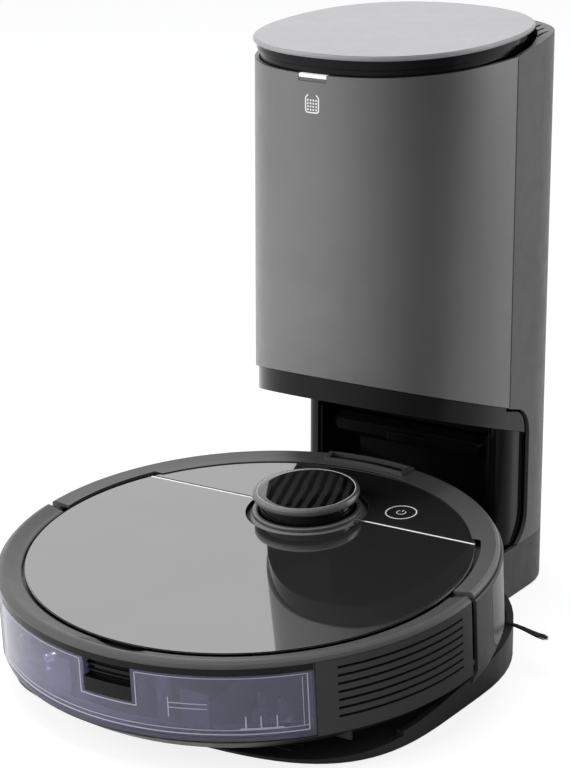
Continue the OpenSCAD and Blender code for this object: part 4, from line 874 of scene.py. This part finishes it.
def in_gloss(tree, colour):
    """White, except to glossy rays, which see the colour."""
    gloss = tree.nodes.new("ShaderNodeLightPath").outputs["Is Glossy Ray"]
    return mixed(tree, gloss, grey(1), colour)


def end_with_mix(tree, output, plain, seen):
    """Ends a tree with plain, but with seen wherever the background shows."""
    out = tree.nodes.new(output)
    mix = tree.nodes.new("ShaderNodeMixShader")
    for k, shader in enumerate((seen_background(tree), plain, seen)):
        tree.links.new(shader, mix.inputs[k])
    tree.links.new(mix.outputs[0], out.inputs[0])


def floor_material():
    mat = bpy.data.materials.new("studio_floor")
    tree = cleared(mat)
    new, link = tree.nodes.new, tree.links.new
    coords = object_coords(tree)
    plain = new("ShaderNodeBsdfDiffuse")
    link(mixed(tree, noise(tree, coords, scale=3, detail=4), grey(0.52), grey(0.56)),
         plain.inputs["Color"])
    # In gloss the floor darkens towards the object's right, +x, as if a black card lay there
    axes = axes_of(tree, coords)
    turn = calculated(tree, "ARCTAN2", axes[1], axes[0])
    card = new("ShaderNodeValToRGB")
    link(mapped(tree, turn, -math.pi, math.pi, 0, 1), card.inputs["Fac"])
    stops = card.color_ramp.elements
    for stop in stops:
        stop.color = grey(CARD_ENDS)
    for degrees, level in CARD_STOPS:
        stops.new((degrees + 180) / 360).color = grey(level)
    glow = new("ShaderNodeEmission")
    glow.inputs["Strength"].default_value = 0.84
    link(in_gloss(tree, card.outputs["Color"]), glow.inputs["Color"])
    pale = new("ShaderNodeBsdfDiffuse")
    pale.inputs["Color"].default_value = grey(0.3)
    seen = new("ShaderNodeAddShader")
    link(glow.outputs[0], seen.inputs[0])
    link(pale.outputs[0], seen.inputs[1])
    end_with_mix(tree, "ShaderNodeOutputMaterial", plain.outputs[0], seen.outputs[0])
    return mat


def make_world():
    world = bpy.data.worlds.new("studio")
    bpy.context.scene.world = world
    tree = cleared(world)
    new, link = tree.nodes.new, tree.links.new
    fill = new("ShaderNodeBackground")
    fill.inputs["Color"].default_value = (0.95, 0.97, 1, 1)
    fill.inputs["Strength"].default_value = 0.35
    # In gloss the studio is white behind the object and darkens towards its right, +x
    direction = new("ShaderNodeTexCoord").outputs["Generated"]
    toward_right = dot_product(tree, direction, (0.98, -0.2, 0))
    ramp = new("ShaderNodeValToRGB")
    link(mapped(tree, toward_right, -1, 1, 0, 1), ramp.inputs["Fac"])
    stops = ramp.color_ramp.elements
    stops[0].position, stops[0].color = 0.3, grey(1)
    stops[1].position, stops[1].color = 1.0, grey(0.06)
    paper = new("ShaderNodeBackground")
    link(in_gloss(tree, ramp.outputs["Color"]), paper.inputs["Color"])
    end_with_mix(tree, "ShaderNodeOutputWorld", fill.outputs[0], paper.outputs[0])


def make_stage():
    mesh = bpy.data.meshes.new("floor")
    mesh.from_pydata([(x * FLOOR_HALF, y * FLOOR_HALF, 0)
                      for x, y in ((-1, -1), (1, -1), (1, 1), (-1, 1))], [], [(0, 1, 2, 3)])
    mesh.materials.append(floor_material())
    floor = place_object("floor", mesh)
    floor.location.z = -FLOOR_GAP
    make_world()
    for name, place, target, size, watts, in_reflections in LAMPS:
        data = bpy.data.lights.new(name, "AREA")
        data.shape = "RECTANGLE"
        data.size, data.size_y = size
        data.energy = watts
        lamp = place_object(name, data)
        aim(lamp, place, target)
        lamp.visible_glossy = in_reflections


def make_camera():
    """The photograph's viewpoint, as fitted to its outlines."""
    data = bpy.data.cameras.new("camera")
    data.lens = CAMERA_LENS
    data.sensor_width = CAMERA_SENSOR
    data.clip_start, data.clip_end = 0.05, 60
    camera = place_object("camera", data)
    aim(camera, CAMERA_PLACE, CAMERA_TARGET)
    bpy.context.scene.camera = camera
    bpy.context.scene.view_settings.view_transform = "Standard"


make_camera()
make_stage()

bpy.context.view_layer.update()
